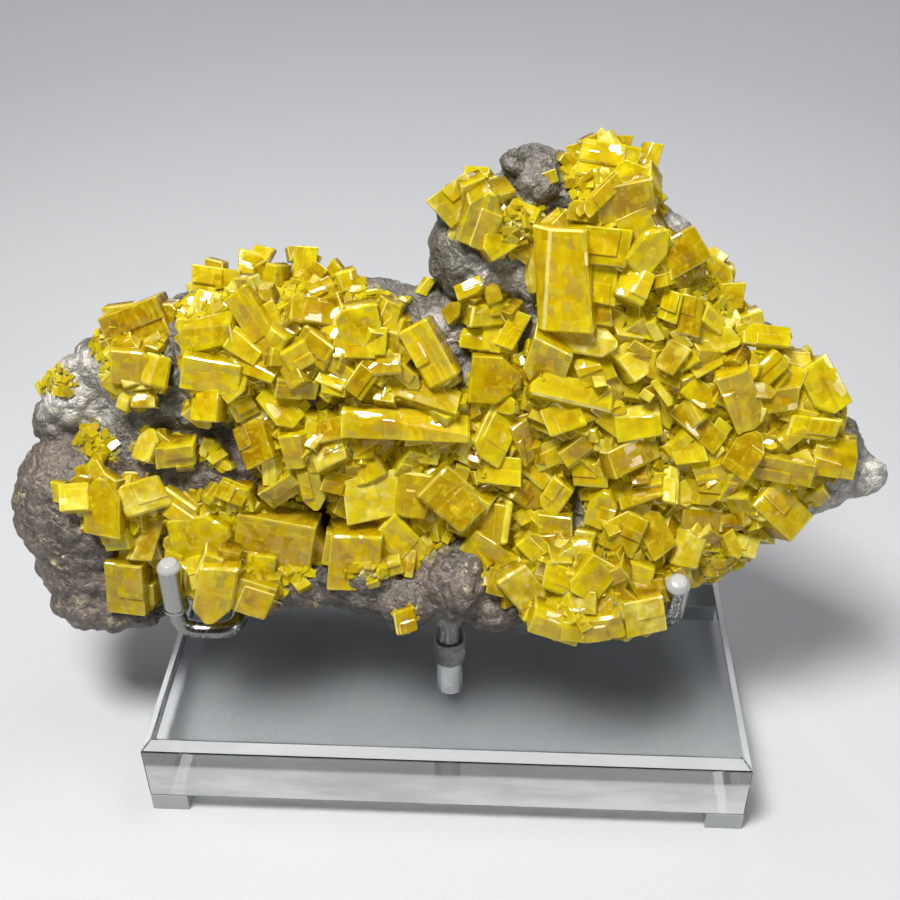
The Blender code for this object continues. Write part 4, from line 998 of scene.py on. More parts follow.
# Along, up, length, width, depth, turn, nod, lean and marks: o orange, l lemon, w frosted on top,
# x frosted and pale, e frosted at the side, s striped, f firm, p pointed, t a plain table.
LARGE_CRYSTALS = {
    "crystals_left_edge": (
        (-90.5, 105, 21, 14, 10, 22, 4, -4, "fo"), (-93, 93, 15, 11, 9, -10, 5, 12, "o"),
        (-98.5, 88.5, 9, 7, 7, 45, -8, -15, ""), (-87, 91, 10, 8, 8, 80, 0, 18, ""),
        (-96.5, 82.5, 8, 4, 6, 75, 12, 0, "w"), (-91, 81.5, 8, 5, 6, 0, 18, 5, "w"),
    ),
    "crystals_on_dome": (
        (-115, 48.5, 10, 9, 8, 4, 14, -12, "x"), (-106, 47, 19, 12, 11, 88, 2, -6, ""),
        (-94.5, 50, 15, 11, 9, 18, 10, 10, "w"), (-95, 36, 16, 8, 8, 75, 14, 8, "w"),
        (-101.5, 19.5, 19, 13, 10, 88, -2, -4, "f"), (-112, 55, 7, 6, 6, 30, 10, 10, "l"),
        (-103, 36, 9, 7, 8, 10, -10, 10, "l"),
    ),
    "crystals_on_ledge": (
        (-82.5, 65.5, 13, 8, 8, 8, -4, 6, ""), (-90.5, 67, 11, 7, 8, 70, 12, -8, "w"),
    ),
    "crystals_lower_left": (
        (-82.5, 46.5, 14, 9, 8, -30, 8, -8, ""), (-76.5, 37, 21, 15, 8, 12, 6, -6, "fl"),
        (-73.5, 18.5, 22, 12.5, 12, -104, -4, 6, "fop"), (-58.3, 28, 13, 11, 10, 80, 10, 4, "l"),
        (-61.5, 17, 13, 12, 9, -20, 0, 4, "f"), (-53.6, 32.4, 30, 26, 11, 80, -2, -2, "fot"),
        (-46.5, 41, 10, 7, 12, 70, 6, -8, ""), (-83.5, 22.5, 12, 6, 8, 80, 4, -14, ""),
        (-65.5, 52, 10, 7, 7, -20, 14, 0, "l"), (-62, 45, 14, 7, 7, -8, 16, 8, ""),
        (-69, 28, 12, 9, 9, -40, 10, -14, "l"),
    ),
    "crystal_in_saddle": (
        (-4.5, 98.5, 20, 10, 9, -60, 4, -10, "fos"),
    ),
    "crystals_centre": (
        (12, 110.5, 14, 7, 8, 0, 10, 4, ""), (7.5, 117, 9, 5, 6, 18, 16, -4, ""),
        (13, 116, 6, 5, 6, -70, 10, 8, ""), (11, 102.5, 13, 6, 8, -6, -6, -4, ""),
        (19.5, 105.5, 12, 6, 7, 62, 14, 10, "e"), (3, 111, 7, 5, 6, 40, 8, -12, ""),
    ),
    "crystals_on_peak": (
        (4.5, 143, 15, 11, 10, 35, 16, -14, "w"), (9.5, 139.5, 18, 11, 11, 72, -2, 8, ""),
        (16.5, 132.5, 17, 8, 7, 33, 14, 6, ""), (29, 137, 9, 4, 5, 38, 10, 0, ""),
        (21.5, 139.5, 9, 5, 5, -20, 12, 10, ""),
    ),
    "crystal_lower_edge": (
        (-13, 9, 8, 7, 8, -80, 4, -8, ""),
    ),
    "crystals_main": (
        (-66, 117.5, 16, 11, 6, -8, 14, -4, ""), (-55, 123, 11, 9, 6, -12, 8, 4, "s"),
        (-70.5, 110.5, 11, 8, 7, 70, 16, 8, "w"), (-69.5, 103.5, 18, 10, 9, 15, 4, -8, ""),
        (-54.5, 106, 25, 9, 8, -57, 4, -12, "o"), (-48.5, 118.5, 14, 7, 7, 85, 6, -20, ""),
        (-41, 124, 12, 7, 6, 80, 4, 16, "s"), (-28, 118, 11, 7, 7, -75, -4, 14, ""),
        (-39.5, 110, 14, 9, 9, 5, 8, 6, ""), (-31.5, 107, 11, 6, 6, 60, 12, -10, ""),
        (-25.5, 107, 13, 12, 10, 10, 2, 8, ""), (-16.5, 110, 10, 8, 8, 75, 10, -6, ""),
        (-38, 99.5, 12, 9, 8, -35, -6, -10, ""), (-27, 98.5, 13, 6, 7, 0, 14, 0, ""),
        (-24.5, 90.5, 12, 7, 9, 55, -10, 14, ""), (-19.5, 94, 14, 7, 8, 5, 6, -10, ""),
        (-70, 91, 18, 11, 9, -12, 8, 6, ""), (-71, 82, 13, 9, 10, 85, -4, -8, ""),
        (-62, 80.5, 8, 7, 7, 20, 8, 14, ""), (-57, 92.5, 15, 6, 7, -18, 10, -8, ""),
        (-45, 87, 13, 6, 7, -8, -8, 8, ""), (-50, 80, 15, 9, 9, -50, 6, 10, ""),
        (-56.5, 69, 14, 11, 10, -70, 2, -10, ""), (-45.5, 68, 12, 9, 10, -80, -4, 12, ""),
        (-52, 62, 13, 5, 8, 90, 4, -6, "xs"), (-50.5, 55.5, 14, 8, 9, 35, -10, 4, ""),
        (-35.5, 72.5, 12, 7, 7, 12, 8, -8, ""), (-25, 72, 10, 8, 9, 40, -6, 10, ""),
        (-34.5, 65, 11, 8, 8, 25, 16, 6, "w"), (-40.5, 54.5, 14, 7, 8, -80, -4, -12, ""),
        (-32.5, 56, 12, 7, 8, -15, 6, 14, ""), (-12, 76.5, 40, 9, 11, -2, 2, 3, "fo"),
        (-9, 85, 28, 8, 7, -16, 24, 0, "l"), (-13, 93, 15, 5, 6, -45, 6, -14, ""),
        (-23, 78.5, 16, 6, 9, -4, 10, -6, ""), (-60, 99, 11, 8, 8, -30, 12, 16, ""),
        (-44, 97, 9, 8, 8, 30, -8, 18, ""), (-63, 87, 10, 7, 8, 40, 12, -12, ""),
        (-33, 90, 9, 8, 7, -20, 18, -12, ""), (-36, 116.5, 9, 7, 7, 30, 10, 10, ""),
        (-23, 52.5, 18, 15, 13, 12, 8, -8, "w"), (-28, 31, 20, 16.5, 12, 84, 0, -2, "fot"),
        (-13, 36, 22, 11, 10, -50, 4, 10, "f"), (-16.5, 29.5, 9, 7, 9, 20, 14, -6, "w"),
        (-9, 53, 15, 12, 10, 80, 0, -10, ""), (1.5, 52, 19, 14, 12, -40, 12, 8, ""),
        (-10, 65, 12, 9, 8, 60, -12, 10, ""), (-23, 63, 12, 8, 8, -60, -10, -8, ""),
        (45, 153, 18, 11, 11, -10, 10, 4, ""), (41, 157, 9, 6, 7, 88, 4, -8, ""),
        (47.5, 157.5, 8, 5, 6, 80, 0, 10, ""), (55.5, 154.5, 10, 6, 6, 75, 4, 18, ""),
        (50, 144.5, 17, 11, 11, 15, 6, 8, ""), (51.5, 138.5, 13, 10, 9, 28, -10, -6, ""),
        (43, 145, 14, 5, 9, 45, 8, -16, ""), (34, 121.5, 31, 17, 14, 97, 0, -14, "fo"),
        (45.5, 130.5, 14, 11, 11, -5, 12, -2, ""), (56.5, 130.5, 15, 10, 10, 50, -4, 8, ""),
        (45.5, 119, 11, 7, 9, 88, 8, -8, ""), (52.5, 119, 10, 9, 10, 70, 10, 6, ""),
        (43, 111.5, 18, 9, 10, -30, 4, 8, ""), (40, 102.5, 23, 9, 11, -10, 22, -4, "w"),
        (30, 97.5, 15, 13, 11, 75, -4, -6, "o"), (43, 94.5, 11, 9, 8, 20, -10, 8, ""),
        (53.5, 96.5, 12, 9, 10, -50, 12, 6, "w"), (14.5, 91, 16, 15, 11, -3, 2, -4, ""),
        (36.5, 86.5, 26, 8, 9, -10, 12, 0, "e"), (64.5, 113.5, 9, 6, 8, 80, 8, -8, "l"),
        (66, 129, 14, 11, 10, 30, 4, 14, ""), (76, 123.5, 12, 8, 8, -35, 8, 8, ""),
        (79, 116.5, 12, 8, 8, 5, -6, 12, ""), (85, 112, 8, 6, 6, -30, 14, 18, "e"),
        (70, 110.5, 12, 7, 8, 85, 4, -10, ""), (77.5, 104, 15, 8, 8, -10, 20, 4, "w"),
        (90.5, 104, 16, 7, 9, 3, 10, 6, ""), (100.5, 97.5, 10, 7, 8, -5, 14, 10, "w"),
        (101, 91.5, 9, 7, 9, 70, -6, -6, "o"), (109, 89.5, 17, 11, 11, -60, 0, 16, ""),
        (96.5, 86, 13, 7, 8, 8, 14, -8, "e"), (87, 87, 21, 10, 10, -65, -4, 4, "o"),
        (93, 94.5, 13, 7, 7, 45, 6, 10, ""), (74, 87, 12, 7, 8, -35, 18, -8, "e"),
        (63.5, 86, 13, 4, 8, -65, 4, 14, "e"), (64, 95, 11, 9, 8, -20, 10, -10, ""),
        (76, 96.5, 11, 6, 7, 30, 16, 4, "e"), (108, 77.5, 15, 7, 9, -5, 8, 6, ""),
        (74, 77, 19, 7, 8, -40, 6, 10, "l"), (57, 78, 14, 10, 9, 12, 10, -6, "e"),
        (55, 67.5, 17, 9, 9, 25, 4, 6, "e"), (89.5, 69, 15, 10, 10, 60, -4, -8, ""),
        (101, 65, 19, 8, 9, -8, 6, 4, ""), (115, 69, 14, 12, 10, -10, 4, 12, ""),
        (100, 50.5, 20, 12, 10, -38, 4, 8, "o"), (97, 43, 9, 8, 8, 85, 16, 6, "w"),
        (90.5, 38, 11, 7, 8, -12, 12, -6, "w"), (87.5, 47, 10, 6, 7, 0, -8, 4, ""),
        (78, 48, 13, 8, 8, -5, -6, 10, ""), (79, 56, 12, 8, 8, 0, 12, -6, ""),
        (86, 60, 12, 7, 8, 70, -8, 12, ""), (60, 55, 16, 7, 8, 20, 10, -4, "e"),
        (68, 57.5, 12, 5, 8, 88, 6, 0, "x"), (55, 43, 14, 12, 10, 70, -4, -8, ""),
        (64, 41.5, 14, 9, 9, -60, 8, 10, ""), (74.5, 37.5, 13, 9, 9, 75, 16, 6, "w"),
        (61, 28.5, 9, 7, 8, -15, 8, -10, ""), (77, 27, 10, 7, 8, 20, -8, 8, ""),
        (73.5, 69, 10, 8, 8, 10, 8, -12, ""), (80, 65.5, 12, 7, 8, 25, -8, 6, ""),
        (62, 14, 13, 12, 10, 10, 10, 6, "w"), (53, 27, 12, 9, 9, 40, -4, -12, ""),
        (14, 73, 17, 11, 10, 65, 8, 8, ""), (23, 72.5, 14, 8, 9, -70, -4, 12, ""),
        (35, 79, 12, 9, 9, 20, 12, -8, ""), (40.5, 71, 15, 7, 8, 40, 4, 6, ""),
        (16.5, 61.5, 14, 9, 9, -5, 14, 4, "e"), (27, 62, 13, 7, 8, -40, 10, -8, "e"),
        (31, 68, 10, 8, 8, 30, -8, 8, ""), (24.5, 53.5, 12, 8, 8, -35, 8, 8, ""),
        (34, 54, 11, 8, 9, 60, -4, -10, ""), (15, 44.5, 13, 11, 9, 85, 4, -4, ""),
        (34, 44.5, 11, 7, 8, -3, 12, 6, ""), (17, 33, 24, 9, 9, -32, 10, 4, ""),
        (28, 36, 11, 8, 8, -45, -4, 10, "l"), (40, 36, 13, 8, 8, 5, 16, -6, "w"),
        (25.5, 20.5, 20, 11, 9, -52, 8, 6, "w"), (36, 25, 11, 9, 8, -20, 12, -10, "l"),
        (45, 26.5, 14, 11, 10, 50, -4, 8, ""), (35, 10, 17, 9, 9, -22, -4, -6, ""),
        (50, 10, 13, 9, 9, 15, 4, 8, ""), (48.5, 51, 13, 9, 10, 80, 2, -10, ""),
        (44, 61.5, 11, 8, 8, 0, 12, 10, ""),
    ),
}

rock_tree = BVHTree.FromPolygons(
    [corner.co for corner in rock.data.vertices], [face.vertices[:] for face in rock.data.polygons]
)

baryte, tree, milky = new_material("yellow_baryte")
baryte.cycles.emission_sampling = "NONE"
here = tree.place()
tone = tree.node("SeparateColor", None, {0: tree.stored("look")})
lightness = tone.output(1)
stripes = tone.output(2)
clarity = tree.stored("look", 3)
frost = tree.stored("frost", 2)
ridge = tree.stored("ridge", 2)
local = tree.stored("local", 1)
sides = tree.node("SeparateXYZ", None, {0: tree.stored("rim", 1)})
across = [sides.output(axis).maths("ABSOLUTE", sides.output(axis)) for axis in range(3)]
pairs = [tree.maths("MINIMUM", across[a], across[b]) for a, b in ((0, 1), (1, 2), (0, 2))]
edge = tree.maths("MAXIMUM", tree.maths("MAXIMUM", pairs[0], pairs[1]), pairs[2])
veils = here.clouds(180.0, 1.0, 0.55)
wisps = here.clouds(620.0, 0.0, 0.7)
lines = local.stretched((50.0, 1300.0, 1300.0)).clouds(1.0, 1.0)
flaws = local.stretched((480.0, 150.0, 150.0), (0.3, 0.5, 0.1)).clouds(1.0, 1.0)
steps_at = local.stretched((260.0, 430.0, 430.0))
steps = tree.node(
    "TexVoronoi", {"distance": "CHEBYCHEV"}, {"Vector": steps_at, "Scale": 1.0, "Randomness": 0.9}
)
step_tone = tree.node("SeparateColor", None, {0: steps.output(1)})
step_lean = tree.node("VectorMath", {"operation": "SUBTRACT"}, {0: steps.output(1), 1: (0.5, 0.5, 0.5)})
base_shade_height = sides.output(2)
veiled = veils.between(0.25, 0.75)
lemon = veiled.mix(rgb(0.88, 0.80, 0.003), rgb(0.49, 0.38, 0.001))
orange = veiled.mix(rgb(0.87, 0.69, 0.002), rgb(0.50, 0.34, 0.001))
core = tone.mix(lemon, orange)
core = clarity.mix(core.mixed_by(rgb(0.60, 0.46, 0.10)), core)
# Painted light through the thin rims: each face darker and more orange towards its middle.
core = edge.between(0.2, 0.95, 0.8, 0.0).mix(core, core.mixed_by(rgb(0.92, 0.74, 0.2)))
core = wisps.between(0.58, 0.78, 0.0, 0.25).mix(core, rgb(0.90, 0.78, 0.05))
core = flaws.between(0.58, 0.70, 0.0, 0.3).mix(core, rgb(0.90, 0.78, 0.05))
core = flaws.between(0.30, 0.42, 0.15, 0.0).mix(core, rgb(0.42, 0.28, 0.002))
core = step_tone.between(0.6, 1.0, 0.0, 0.16).mix(core, rgb(0.95, 0.86, 0.02))
core = step_tone.between(0.0, 0.35, 0.22, 0.0).mix(core, core.mixed_by(rgb(0.78, 0.62, 0.3)))
# Painted shade: each crystal darker towards the side that sits on the rock.
core = base_shade_height.between(-0.9, 0.95, 0.95, 0.0).mix(core, core.mixed_by(rgb(0.24, 0.155, 0.03)))
# Painted highlight: a thin bright line along each edge.
core = edge.between(0.90, 0.99, 0.0, 0.4).mix(core, rgb(0.95, 0.84, 0.04))
# Painted glints: some narrow bevel faces turned near white.
core = (ridge * ridge * 0.7).mix(core, rgb(0.98, 0.92, 0.30))
core = (stripes * lines.between(0.5, 0.62, 0.0, 0.28)).mix(core, rgb(0.94, 0.80, 0.03))
pale = wisps.between(0.35, 0.65).mix(rgb(0.88, 0.78, 0.04), rgb(0.93, 0.86, 0.26))
core = (frost * veils.between(0.35, 0.65, 0.0, 0.6)).mix(core, pale)
core = (lightness * 0.35).mix(core, rgb(0.88, 0.79, 0.05))
ruled = (lines * (stripes * 0.16 + 0.05)).bump(1.0, 0.0004)
uneven = tree.node("VectorMath", {"operation": "NORMALIZE"}, {0: step_lean.added_to(ruled, 0.42)})
stone = {
    "Base_Color": core,
    "IOR": BARYTE_IOR,
    # Painted glow: the crystals give off a little light of their own colour.
    "Emission_Color": core,
    "Emission_Strength": BARYTE_GLOW,
    "Normal": uneven,
}
feed(tree, milky, **stone, Roughness=frost.between(0.0, 1.0, 0.2, 0.28), Specular_IOR_Level=0.22)
milky_body = tree.tree.nodes["Principled BSDF"]
glassy_body = tree.tree.nodes.new("ShaderNodeBsdfPrincipled")
feed(
    tree,
    glassy_body.inputs,
    **stone,
    Roughness=frost.between(0.0, 1.0, 0.1, 0.22),
    Specular_IOR_Level=0.32,
    Transmission_Weight=1.0,
)
mix_shaders(tree, veils.between(0.3, 0.7, 0.42, 0.56), glassy_body, milky_body)


def cut_corner(bm, point, way):
    """Cuts off what lies beyond a plane and closes the cut with one flat face."""
    geom = bm.verts[:] + bm.edges[:] + bm.faces[:]
    cut = bmesh.ops.bisect_plane(bm, geom=geom, plane_co=point, plane_no=way, clear_outer=True)
    border = [item for item in cut["geom_cut"] if isinstance(item, bmesh.types.BMEdge)]
    if border:
        bmesh.ops.contextual_create(bm, geom=border)


def slab(length, width, depth, kind, shift=(0, 0, 0), edge=0.3, skew=0.0):
    """One flat-faced slab with a roofed end, a cut corner or a sloped side, its edges blunted."""
    bm = bmesh.new()
    bmesh.ops.create_cube(bm, size=1, matrix=Matrix.Diagonal((length, width, depth, 1)))
    if kind == 1:
        cut_corner(bm, (length * 0.5, width * 0.12, 0), (0.62, 0.78, 0))
        cut_corner(bm, (length * 0.5, -width * 0.12, 0), (0.62, -0.78, 0))
    elif kind == 2:
        cut_corner(bm, (-length * 0.32, width * 0.5, 0), (-0.7, 0.7, 0))
    elif kind == 3:
        cut_corner(bm, (0, width * 0.5, depth * 0.22), (0.1, 0.66, 0.75))
    bmesh.ops.bevel(bm, geom=bm.edges[:], offset=edge, segments=1, affect="EDGES")
    bmesh.ops.translate(bm, verts=bm.verts[:], vec=shift)
    for corner in bm.verts:
        corner.co.x += skew * corner.co.y
    return bm


UP_THE_FACE = Vector((0, 1, 0))
OUT_OF_THE_FACE = Vector((0, 0, 1))
KINDS = (0, 0, 1, 2, 3)
random_ridge = random.Random(EDGE_GLINT_SEED)


class Heap:
    """Crystals gathered into one mesh, each corner with its place and look in its crystal."""

    def __init__(self):
        self.corners = []
        self.faces = []
        self.looks = []
        self.rims = []
        self.locals = []
        self.frosts = []
        self.ridges = []

    def add(self, bm, place, halves, look, frosty, edge):
        """Takes a slab at a place; frosty is the way its frosted faces look, or None."""
        first = len(self.corners)
        bm.verts.index_update()
        bm.normal_update()
        for corner in bm.verts:
            here = place @ corner.co
            held = [max(low + TIGHT, min(high - TIGHT, c)) for low, high, c in zip(*cad_box, here)]
            self.corners.append(held)
            self.looks.append(look)
            self.rims.append([c / h for c, h in zip(corner.co, halves)])
            self.locals.append(corner.co * MM + Vector((look[0], look[1], 0)))
        for face in bm.faces:
            self.faces.append([first + corner.index for corner in face.verts])
            # Narrow faces, the blunted edges, draw a painted glint at random.
            narrow = face.calc_area() < edge * face.calc_perimeter()
            self.ridges.append(random_ridge.choice((0.0, 0.0, 0.3, 0.5, 1.0)) if narrow else 0.0)
            self.frosts.append(1.0 if frosty and face.normal.dot(frosty) > 0.6 else 0.0)
        bm.free()

    def mesh(self, name):
        data = bpy.data.meshes.new(name)
        data.from_pydata(self.corners, [], self.faces)
        colours = data.color_attributes.new("look", "FLOAT_COLOR", "POINT")
        colours.data.foreach_set("color", [value for row in self.looks for value in row])
        for label, rows in (("rim", self.rims), ("local", self.locals)):
            vectors = data.attributes.new(label, "FLOAT_VECTOR", "POINT")
            vectors.data.foreach_set("vector", [value for row in rows for value in row])
        for label, values in (("frost", self.frosts), ("ridge", self.ridges)):
            numbers = data.attributes.new(label, "FLOAT", "FACE")
            numbers.data.foreach_set("value", values)
        return data


def attitude(turn, nod, lean):
    """A crystal's turn on the face, nod towards the light and lean aside, in degrees."""
    return (
        Matrix.Rotation(math.radians(-nod), 4, "X")
        @ Matrix.Rotation(math.radians(lean), 4, "Y")
        @ Matrix.Rotation(math.radians(turn), 4, "Z")
    )


def spot_on_rock(along, up, depth, stand=CRYSTAL_STAND):
    """Where a crystal seen at this place sits on the rock."""
    out = CRYSTAL_SHEET
    for _ in range(4):
        place = on_sight_line(along, up, out, CRYSTAL_SHEET)
        out = seat(*place) + depth * stand
    return Vector((*place, out))


def kept_on_rock(middle, reach):
    """The same spot, or one drawn back to the nearest rock where a crystal would hang in the air."""
    spot = FACE @ middle
    near, way, _, gap = rock_tree.find_nearest(spot)
    if gap < reach * MM or (spot - near).dot(way) < 0:
        return middle
    return FACE.inverted() @ (near + way * (0.5 * reach * MM))


def crystal(heap, row, order, draw):
    """A crystal as a book of slabs on one axis."""
    along, up, length, width, depth, turn, nod, lean, marks = row
    tone = draw.uniform(0.15, 0.6)
    if "o" in marks:
        tone = draw.uniform(0.75, 1.0)
    elif "l" in marks:
        tone = draw.uniform(0.0, 0.15)
    light = 0.9 if "x" in marks else draw.choice((0.0, 0.0, 0.15, 0.35))
    striped = 1.0 if "s" in marks else draw.choice((0.0, 0.1, 0.3))
    frosty = None
    if "w" in marks or "x" in marks:
        frosty = OUT_OF_THE_FACE
    elif "e" in marks:
        frosty = UP_THE_FACE
    look = (tone, light, striped, draw.choice((1, 1, 0.8, 0.5, 0.2)))
    skew = draw.uniform(-0.2, 0.2)
    sway = 0.0 if "f" in marks else 1.0
    turning = attitude(turn, nod + sway * draw.gauss(4, 9), lean + sway * draw.gauss(0, 9))
    stand = FIRM_STAND if "f" in marks else CRYSTAL_STAND
    middle = kept_on_rock(spot_on_rock(along, up, depth, stand), 0.45 * length + 1.5)
    place = FACE @ Matrix.Translation(middle) @ turning
    halves = (length / 2, width / 2, depth / 2)
    kind = 1 if "p" in marks else 0 if "t" in marks else order % 4
    edge = min(0.8, draw.choice((0.035, 0.05, 0.09)) * min(width, depth))
    heap.add(slab(length, width, depth, kind, edge=edge, skew=skew), place, halves, look, frosty, edge)
    if length < 8:
        return
    stepped = draw.random() < 0.6
    end, side = draw.choice((-1, 1)), draw.choice((-1, 1))
    long_share, wide_share = draw.uniform(0.5, 0.8), draw.uniform(0.45, 0.85)
    step = draw.uniform(0.4, 1.1)
    shelf = slab(
        length * long_share,
        width * wide_share,
        depth,
        kind if kind == 3 else 0,
        (end * length * (0.5 - long_share / 2 - 0.012), side * width * (0.5 - wide_share / 2 - 0.015), step),
        edge * 0.7,
        skew,
    )
    if stepped:
        heap.add(shelf, place, halves, look, frosty, edge * 0.7)
    for _ in range(1 if length < 12 else 2 if length < 18 else 3):
        share = draw.uniform(0.35, 0.62)
        broad = min(width, length * 0.8) * draw.uniform(0.45, 0.75)
        size = (length * share, broad, depth * draw.uniform(0.45, 0.8))
        around = draw.uniform(0, 2 * math.pi)
        sunk = -depth * draw.uniform(0.15, 0.4)
        shift = (math.cos(around) * length * 0.45, math.sin(around) * width * 0.45, sunk)
        spread = 0.25 + 0.75 * sway
        twist = attitude(spread * draw.gauss(0, 40), spread * draw.gauss(4, 16), spread * draw.gauss(0, 18))
        child = place @ Matrix.Translation(shift) @ twist
        near_tone = min(1, max(0, tone + draw.uniform(-0.2, 0.2)))
        tint = (near_tone, draw.choice((0, 0.15, 0.4)), striped, draw.choice((1, 0.8, 0.5, 0.1)))
        heap.add(
            slab(*size, draw.choice(KINDS), edge=edge * 0.7, skew=draw.uniform(-0.25, 0.25)),
            child,
            [value / 2 for value in size],
            tint,
            draw.choice((None, None, UP_THE_FACE, OUT_OF_THE_FACE)),
            edge * 0.7,
        )


# How many small crystals fill between the large ones of each group, grown at all angles.
FILLERS = {
    "crystals_main": 760,
    "crystals_left_edge": 22,
    "crystals_on_dome": 34,
    "crystals_on_ledge": 8,
    "crystals_lower_left": 80,
    "crystals_centre": 8,
    "crystals_on_peak": 16,
}


def fill(heap, outline, count, rows, draw):
    """Scatters small crystals inside an outline, off the middles of the large ones."""
    lows = [min(point[axis] for point in outline) for axis in (0, 1)]
    highs = [max(point[axis] for point in outline) for axis in (0, 1)]
    made = 0
    while made < count:
        along = draw.uniform(lows[0], highs[0])
        up = draw.uniform(lows[1], highs[1])
        if inside(outline, along, up) < 0 or in_patches(BARE, along, up) > 0.5:
            continue
        if any(math.hypot(along - row[0], up - row[1]) < 0.22 * row[2] for row in rows):
            continue
        made += 1
        length = 3.5 + 6.5 * draw.random() ** 1.4
        width = length * draw.uniform(0.4, 0.85)
        depth = length * draw.uniform(0.35, 0.8)
        tilt = (draw.uniform(-90, 90), draw.gauss(12, 26), draw.gauss(0, 26))
        middle = kept_on_rock(spot_on_rock(along, up, depth, draw.uniform(0.1, 0.6)), 0.4 * length + 0.5)
        place = FACE @ Matrix.Translation(middle) @ attitude(*tilt)
        tone, light = draw.uniform(0, 0.7), draw.choice((0, 0.1, 0.3, 0.6))
        look = (tone, light, draw.choice((0, 0.3)), draw.choice((1, 0.7, 0.3, 0)))
        frosty = draw.choice((None, None, None, OUT_OF_THE_FACE, UP_THE_FACE))
        blunt = 0.05 * width
        grain = slab(length, width, depth, draw.choice(KINDS), edge=blunt, skew=draw.uniform(-0.25, 0.25))
        heap.add(grain, place, (length / 2, width / 2, depth / 2), look, frosty, blunt)


# Small crystals that catch the light on their own: bright chips among the large ones, and
# single ones at the rims, in the same terms as the large ones.
CHIPS = (
    (-63.5, 111, 7, 4.5, 4, 30, 10, 0, ""), (-103.5, 99, 5, 3.5, 3, -20, 5, 10, "l"),
    (36, 157, 6, 4, 4, 15, 10, -10, ""), (38, 150.5, 5, 4, 4, -25, 20, 0, "w"),
    (-6, 118, 6, 4, 4, 60, 15, 0, "l"), (28.5, 149.5, 5, 4, 3, 20, 10, 10, ""),
    (108, 50.5, 12, 3, 4, 12, 15, 0, "w"), (-76.3, 106.3, 5, 4, 5, -5, 8, 0, "x"),
    (44.5, 90, 4, 3.5, 14, 10, 10, 0, "x"), (59.5, 87, 4, 3, 14, -30, 15, 0, "x"),
    (64, 88.5, 9, 2.2, 16, -52, 8, 0, "x"), (18, 45, 2.2, 14, 14, 0, 5, 0, "x"),
    (14, 73, 6, 2, 12, 20, 10, 0, "x"), (-70, 64, 6, 3, 4, 35, 15, 10, "w"),
    (-67, 61, 5, 3, 4, -20, 15, -10, "w"), (-74, 67, 6, 2.5, 4, 70, 10, 10, "w"),
)

for name, outline in OUTLINES.items():
    draw = random.Random(name)
    rows = LARGE_CRYSTALS[name]
    if name == "crystals_main":
        rows = (*rows, *CHIPS)
    heap = Heap()
    for order, row in enumerate(rows):
        crystal(heap, row, order, draw)
    fill(heap, outline, FILLERS.get(name, 0), rows, draw)
    data = heap.mesh(name + "_grown")
    dressed(name + "_grown", data, (baryte,), "yellow_baryte", name)


# The druse: hundreds of tiny baryte blades that carpet the crust between the large crystals and
# speckle the bare lumps in a few patches. One blade is repeated over the rock's skin.

DRUSE_SPACING = 0.0015
DRUSE_DENSITY = 420000.0
DRUSE_LOW = 0.55
DRUSE_HIGH = 1.5
DRUSE_SEED = 11
BLADE = (0.0028, 0.0020, 0.0008)

blade = bmesh.new()
upright = Matrix.Translation((0, 0, BLADE[2] / 2)) @ Matrix.Diagonal((*BLADE, 1))
bmesh.ops.create_cube(blade, size=1, matrix=upright)
cut_corner(blade, (-0.32 * BLADE[0], 0.5 * BLADE[1], 0), (-0.7, 0.7, 0))
blade_data = bpy.data.meshes.new("blade")
blade.to_mesh(blade_data)
blade.free()
blade_shape = bpy.data.objects.new("blade", blade_data)
scene.collection.objects.link(blade_shape)

carpet_tree = bpy.data.node_groups.new("druse_carpet", "GeometryNodeTree")
face = carpet_tree.interface
face.new_socket("Geometry", in_out="INPUT", socket_type="NodeSocketGeometry")
inputs_wanted = (
    ("Blade", "NodeSocketObject", blade_shape),
    ("Spacing", "NodeSocketFloat", DRUSE_SPACING),
    ("Density", "NodeSocketFloat", DRUSE_DENSITY),
    ("Smallest", "NodeSocketFloat", DRUSE_LOW),
    ("Largest", "NodeSocketFloat", DRUSE_HIGH),
    ("Seed", "NodeSocketInt", DRUSE_SEED),
)
handles = {
    name: face.new_socket(name, in_out="INPUT", socket_type=kind).identifier
    for name, kind, _ in inputs_wanted
}
face.new_socket("Geometry", in_out="OUTPUT", socket_type="NodeSocketGeometry")


def step(kind, sockets=None, **settings):
    """A node of the carpet's tree, with its sockets linked or set."""
    made = carpet_tree.nodes.new(kind)
    for name, value in settings.items():
        setattr(made, name, value)
    for name, value in (sockets or {}).items():
        if isinstance(value, bpy.types.NodeSocket):
            carpet_tree.links.new(value, made.inputs[name])
        else:
            made.inputs[name].default_value = value
    return made


given = step("NodeGroupInput").outputs
crusted = step("GeometryNodeInputNamedAttribute", {"Name": "skin"}, data_type="FLOAT_COLOR")
parts = step("FunctionNodeSeparateColor", {"Color": crusted.outputs["Attribute"]}).outputs
spots = step(
    "GeometryNodeDistributePointsOnFaces",
    {
        "Mesh": given["Geometry"],
        "Distance Min": given["Spacing"],
        "Density Max": given["Density"],
        "Density Factor": parts["Red"],
        "Seed": given["Seed"],
    },
    distribute_method="POISSON",
)


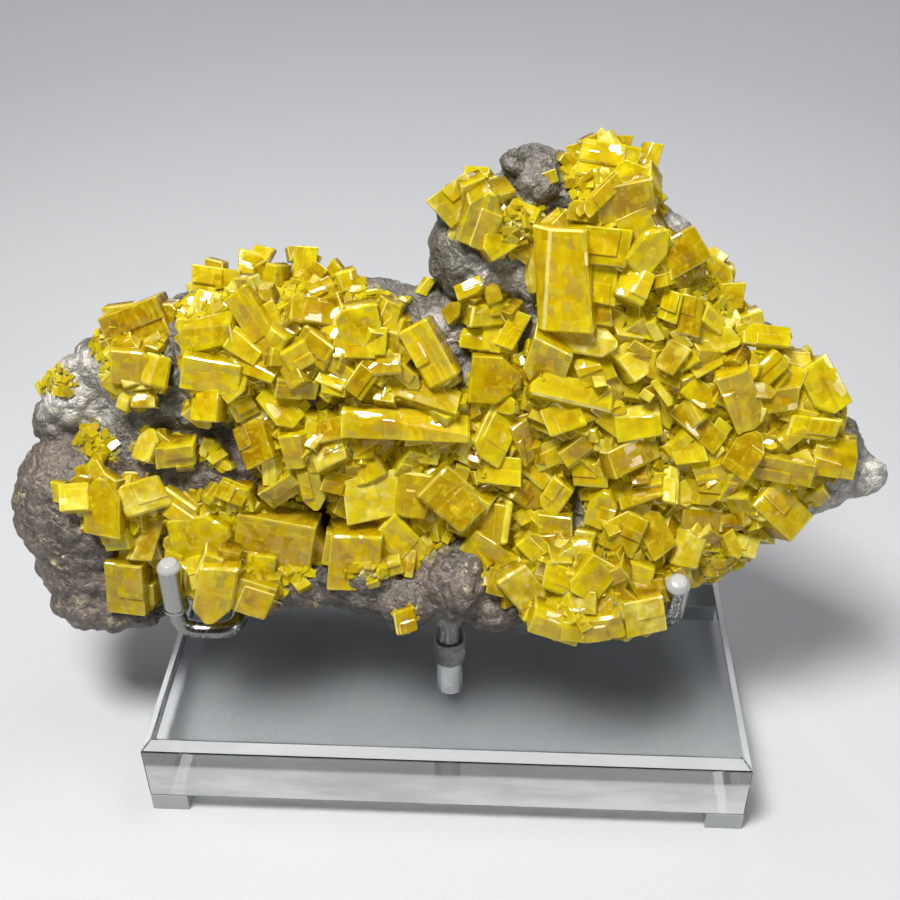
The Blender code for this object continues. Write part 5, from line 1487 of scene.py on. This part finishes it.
def drawn(low, high):
    """A random vector for each blade."""
    return step("FunctionNodeRandomValue", {0: low, 1: high, "Seed": given["Seed"]}, data_type="FLOAT_VECTOR")


spin = drawn((-0.5, -0.5, 0.0), (0.5, 0.5, 6.28))
turned = step(
    "FunctionNodeRotateRotation",
    {"Rotation": spots.outputs["Rotation"], "Rotate By": spin.outputs[0]},
    rotation_space="LOCAL",
)
sizes = step(
    "FunctionNodeRandomValue",
    {2: given["Smallest"], 3: given["Largest"], "Seed": given["Seed"]},
    data_type="FLOAT",
)
one_blade = step("GeometryNodeObjectInfo", {"Object": given["Blade"]})
grown = step(
    "GeometryNodeInstanceOnPoints",
    {
        "Points": spots.outputs["Points"],
        "Instance": one_blade.outputs["Geometry"],
        "Rotation": turned.outputs[0],
        "Scale": sizes.outputs[1],
    },
)
tint = drawn((0.0, 0.0, 0.0), (0.35, 0.5, 0.9))
tint_parts = step("ShaderNodeSeparateXYZ", {0: tint.outputs[0]}).outputs
tint_colour = step("FunctionNodeCombineColor", {0: tint_parts[0], 1: tint_parts[1], 2: 0.1, 3: tint_parts[2]})
looks = step(
    "GeometryNodeStoreNamedAttribute",
    {"Geometry": grown.outputs[0], "Name": "look", "Value": tint_colour.outputs[0]},
    data_type="FLOAT_COLOR",
    domain="INSTANCE",
)
rims = step(
    "GeometryNodeStoreNamedAttribute",
    {"Geometry": looks.outputs[0], "Name": "rim", "Value": (0.9, 0.9, 0.9)},
    data_type="FLOAT_VECTOR",
    domain="INSTANCE",
)
real = step("GeometryNodeRealizeInstances", {"Geometry": rims.outputs[0]})
dressed_carpet = step("GeometryNodeSetMaterial", {"Geometry": real.outputs[0], "Material": baryte})
result = step("NodeGroupOutput")
carpet_tree.links.new(dressed_carpet.outputs[0], result.inputs[0])

carpet = bpy.data.objects.new("druse_carpet", rock.data.copy())
scene.collection.objects.link(carpet)
grower = carpet.modifiers.new("Druse", "NODES")
grower.node_group = carpet_tree
for name, _, value in inputs_wanted:
    grower[handles[name]] = value
baked(carpet)
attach(carpet, "root")
bpy.data.objects.remove(blade_shape)
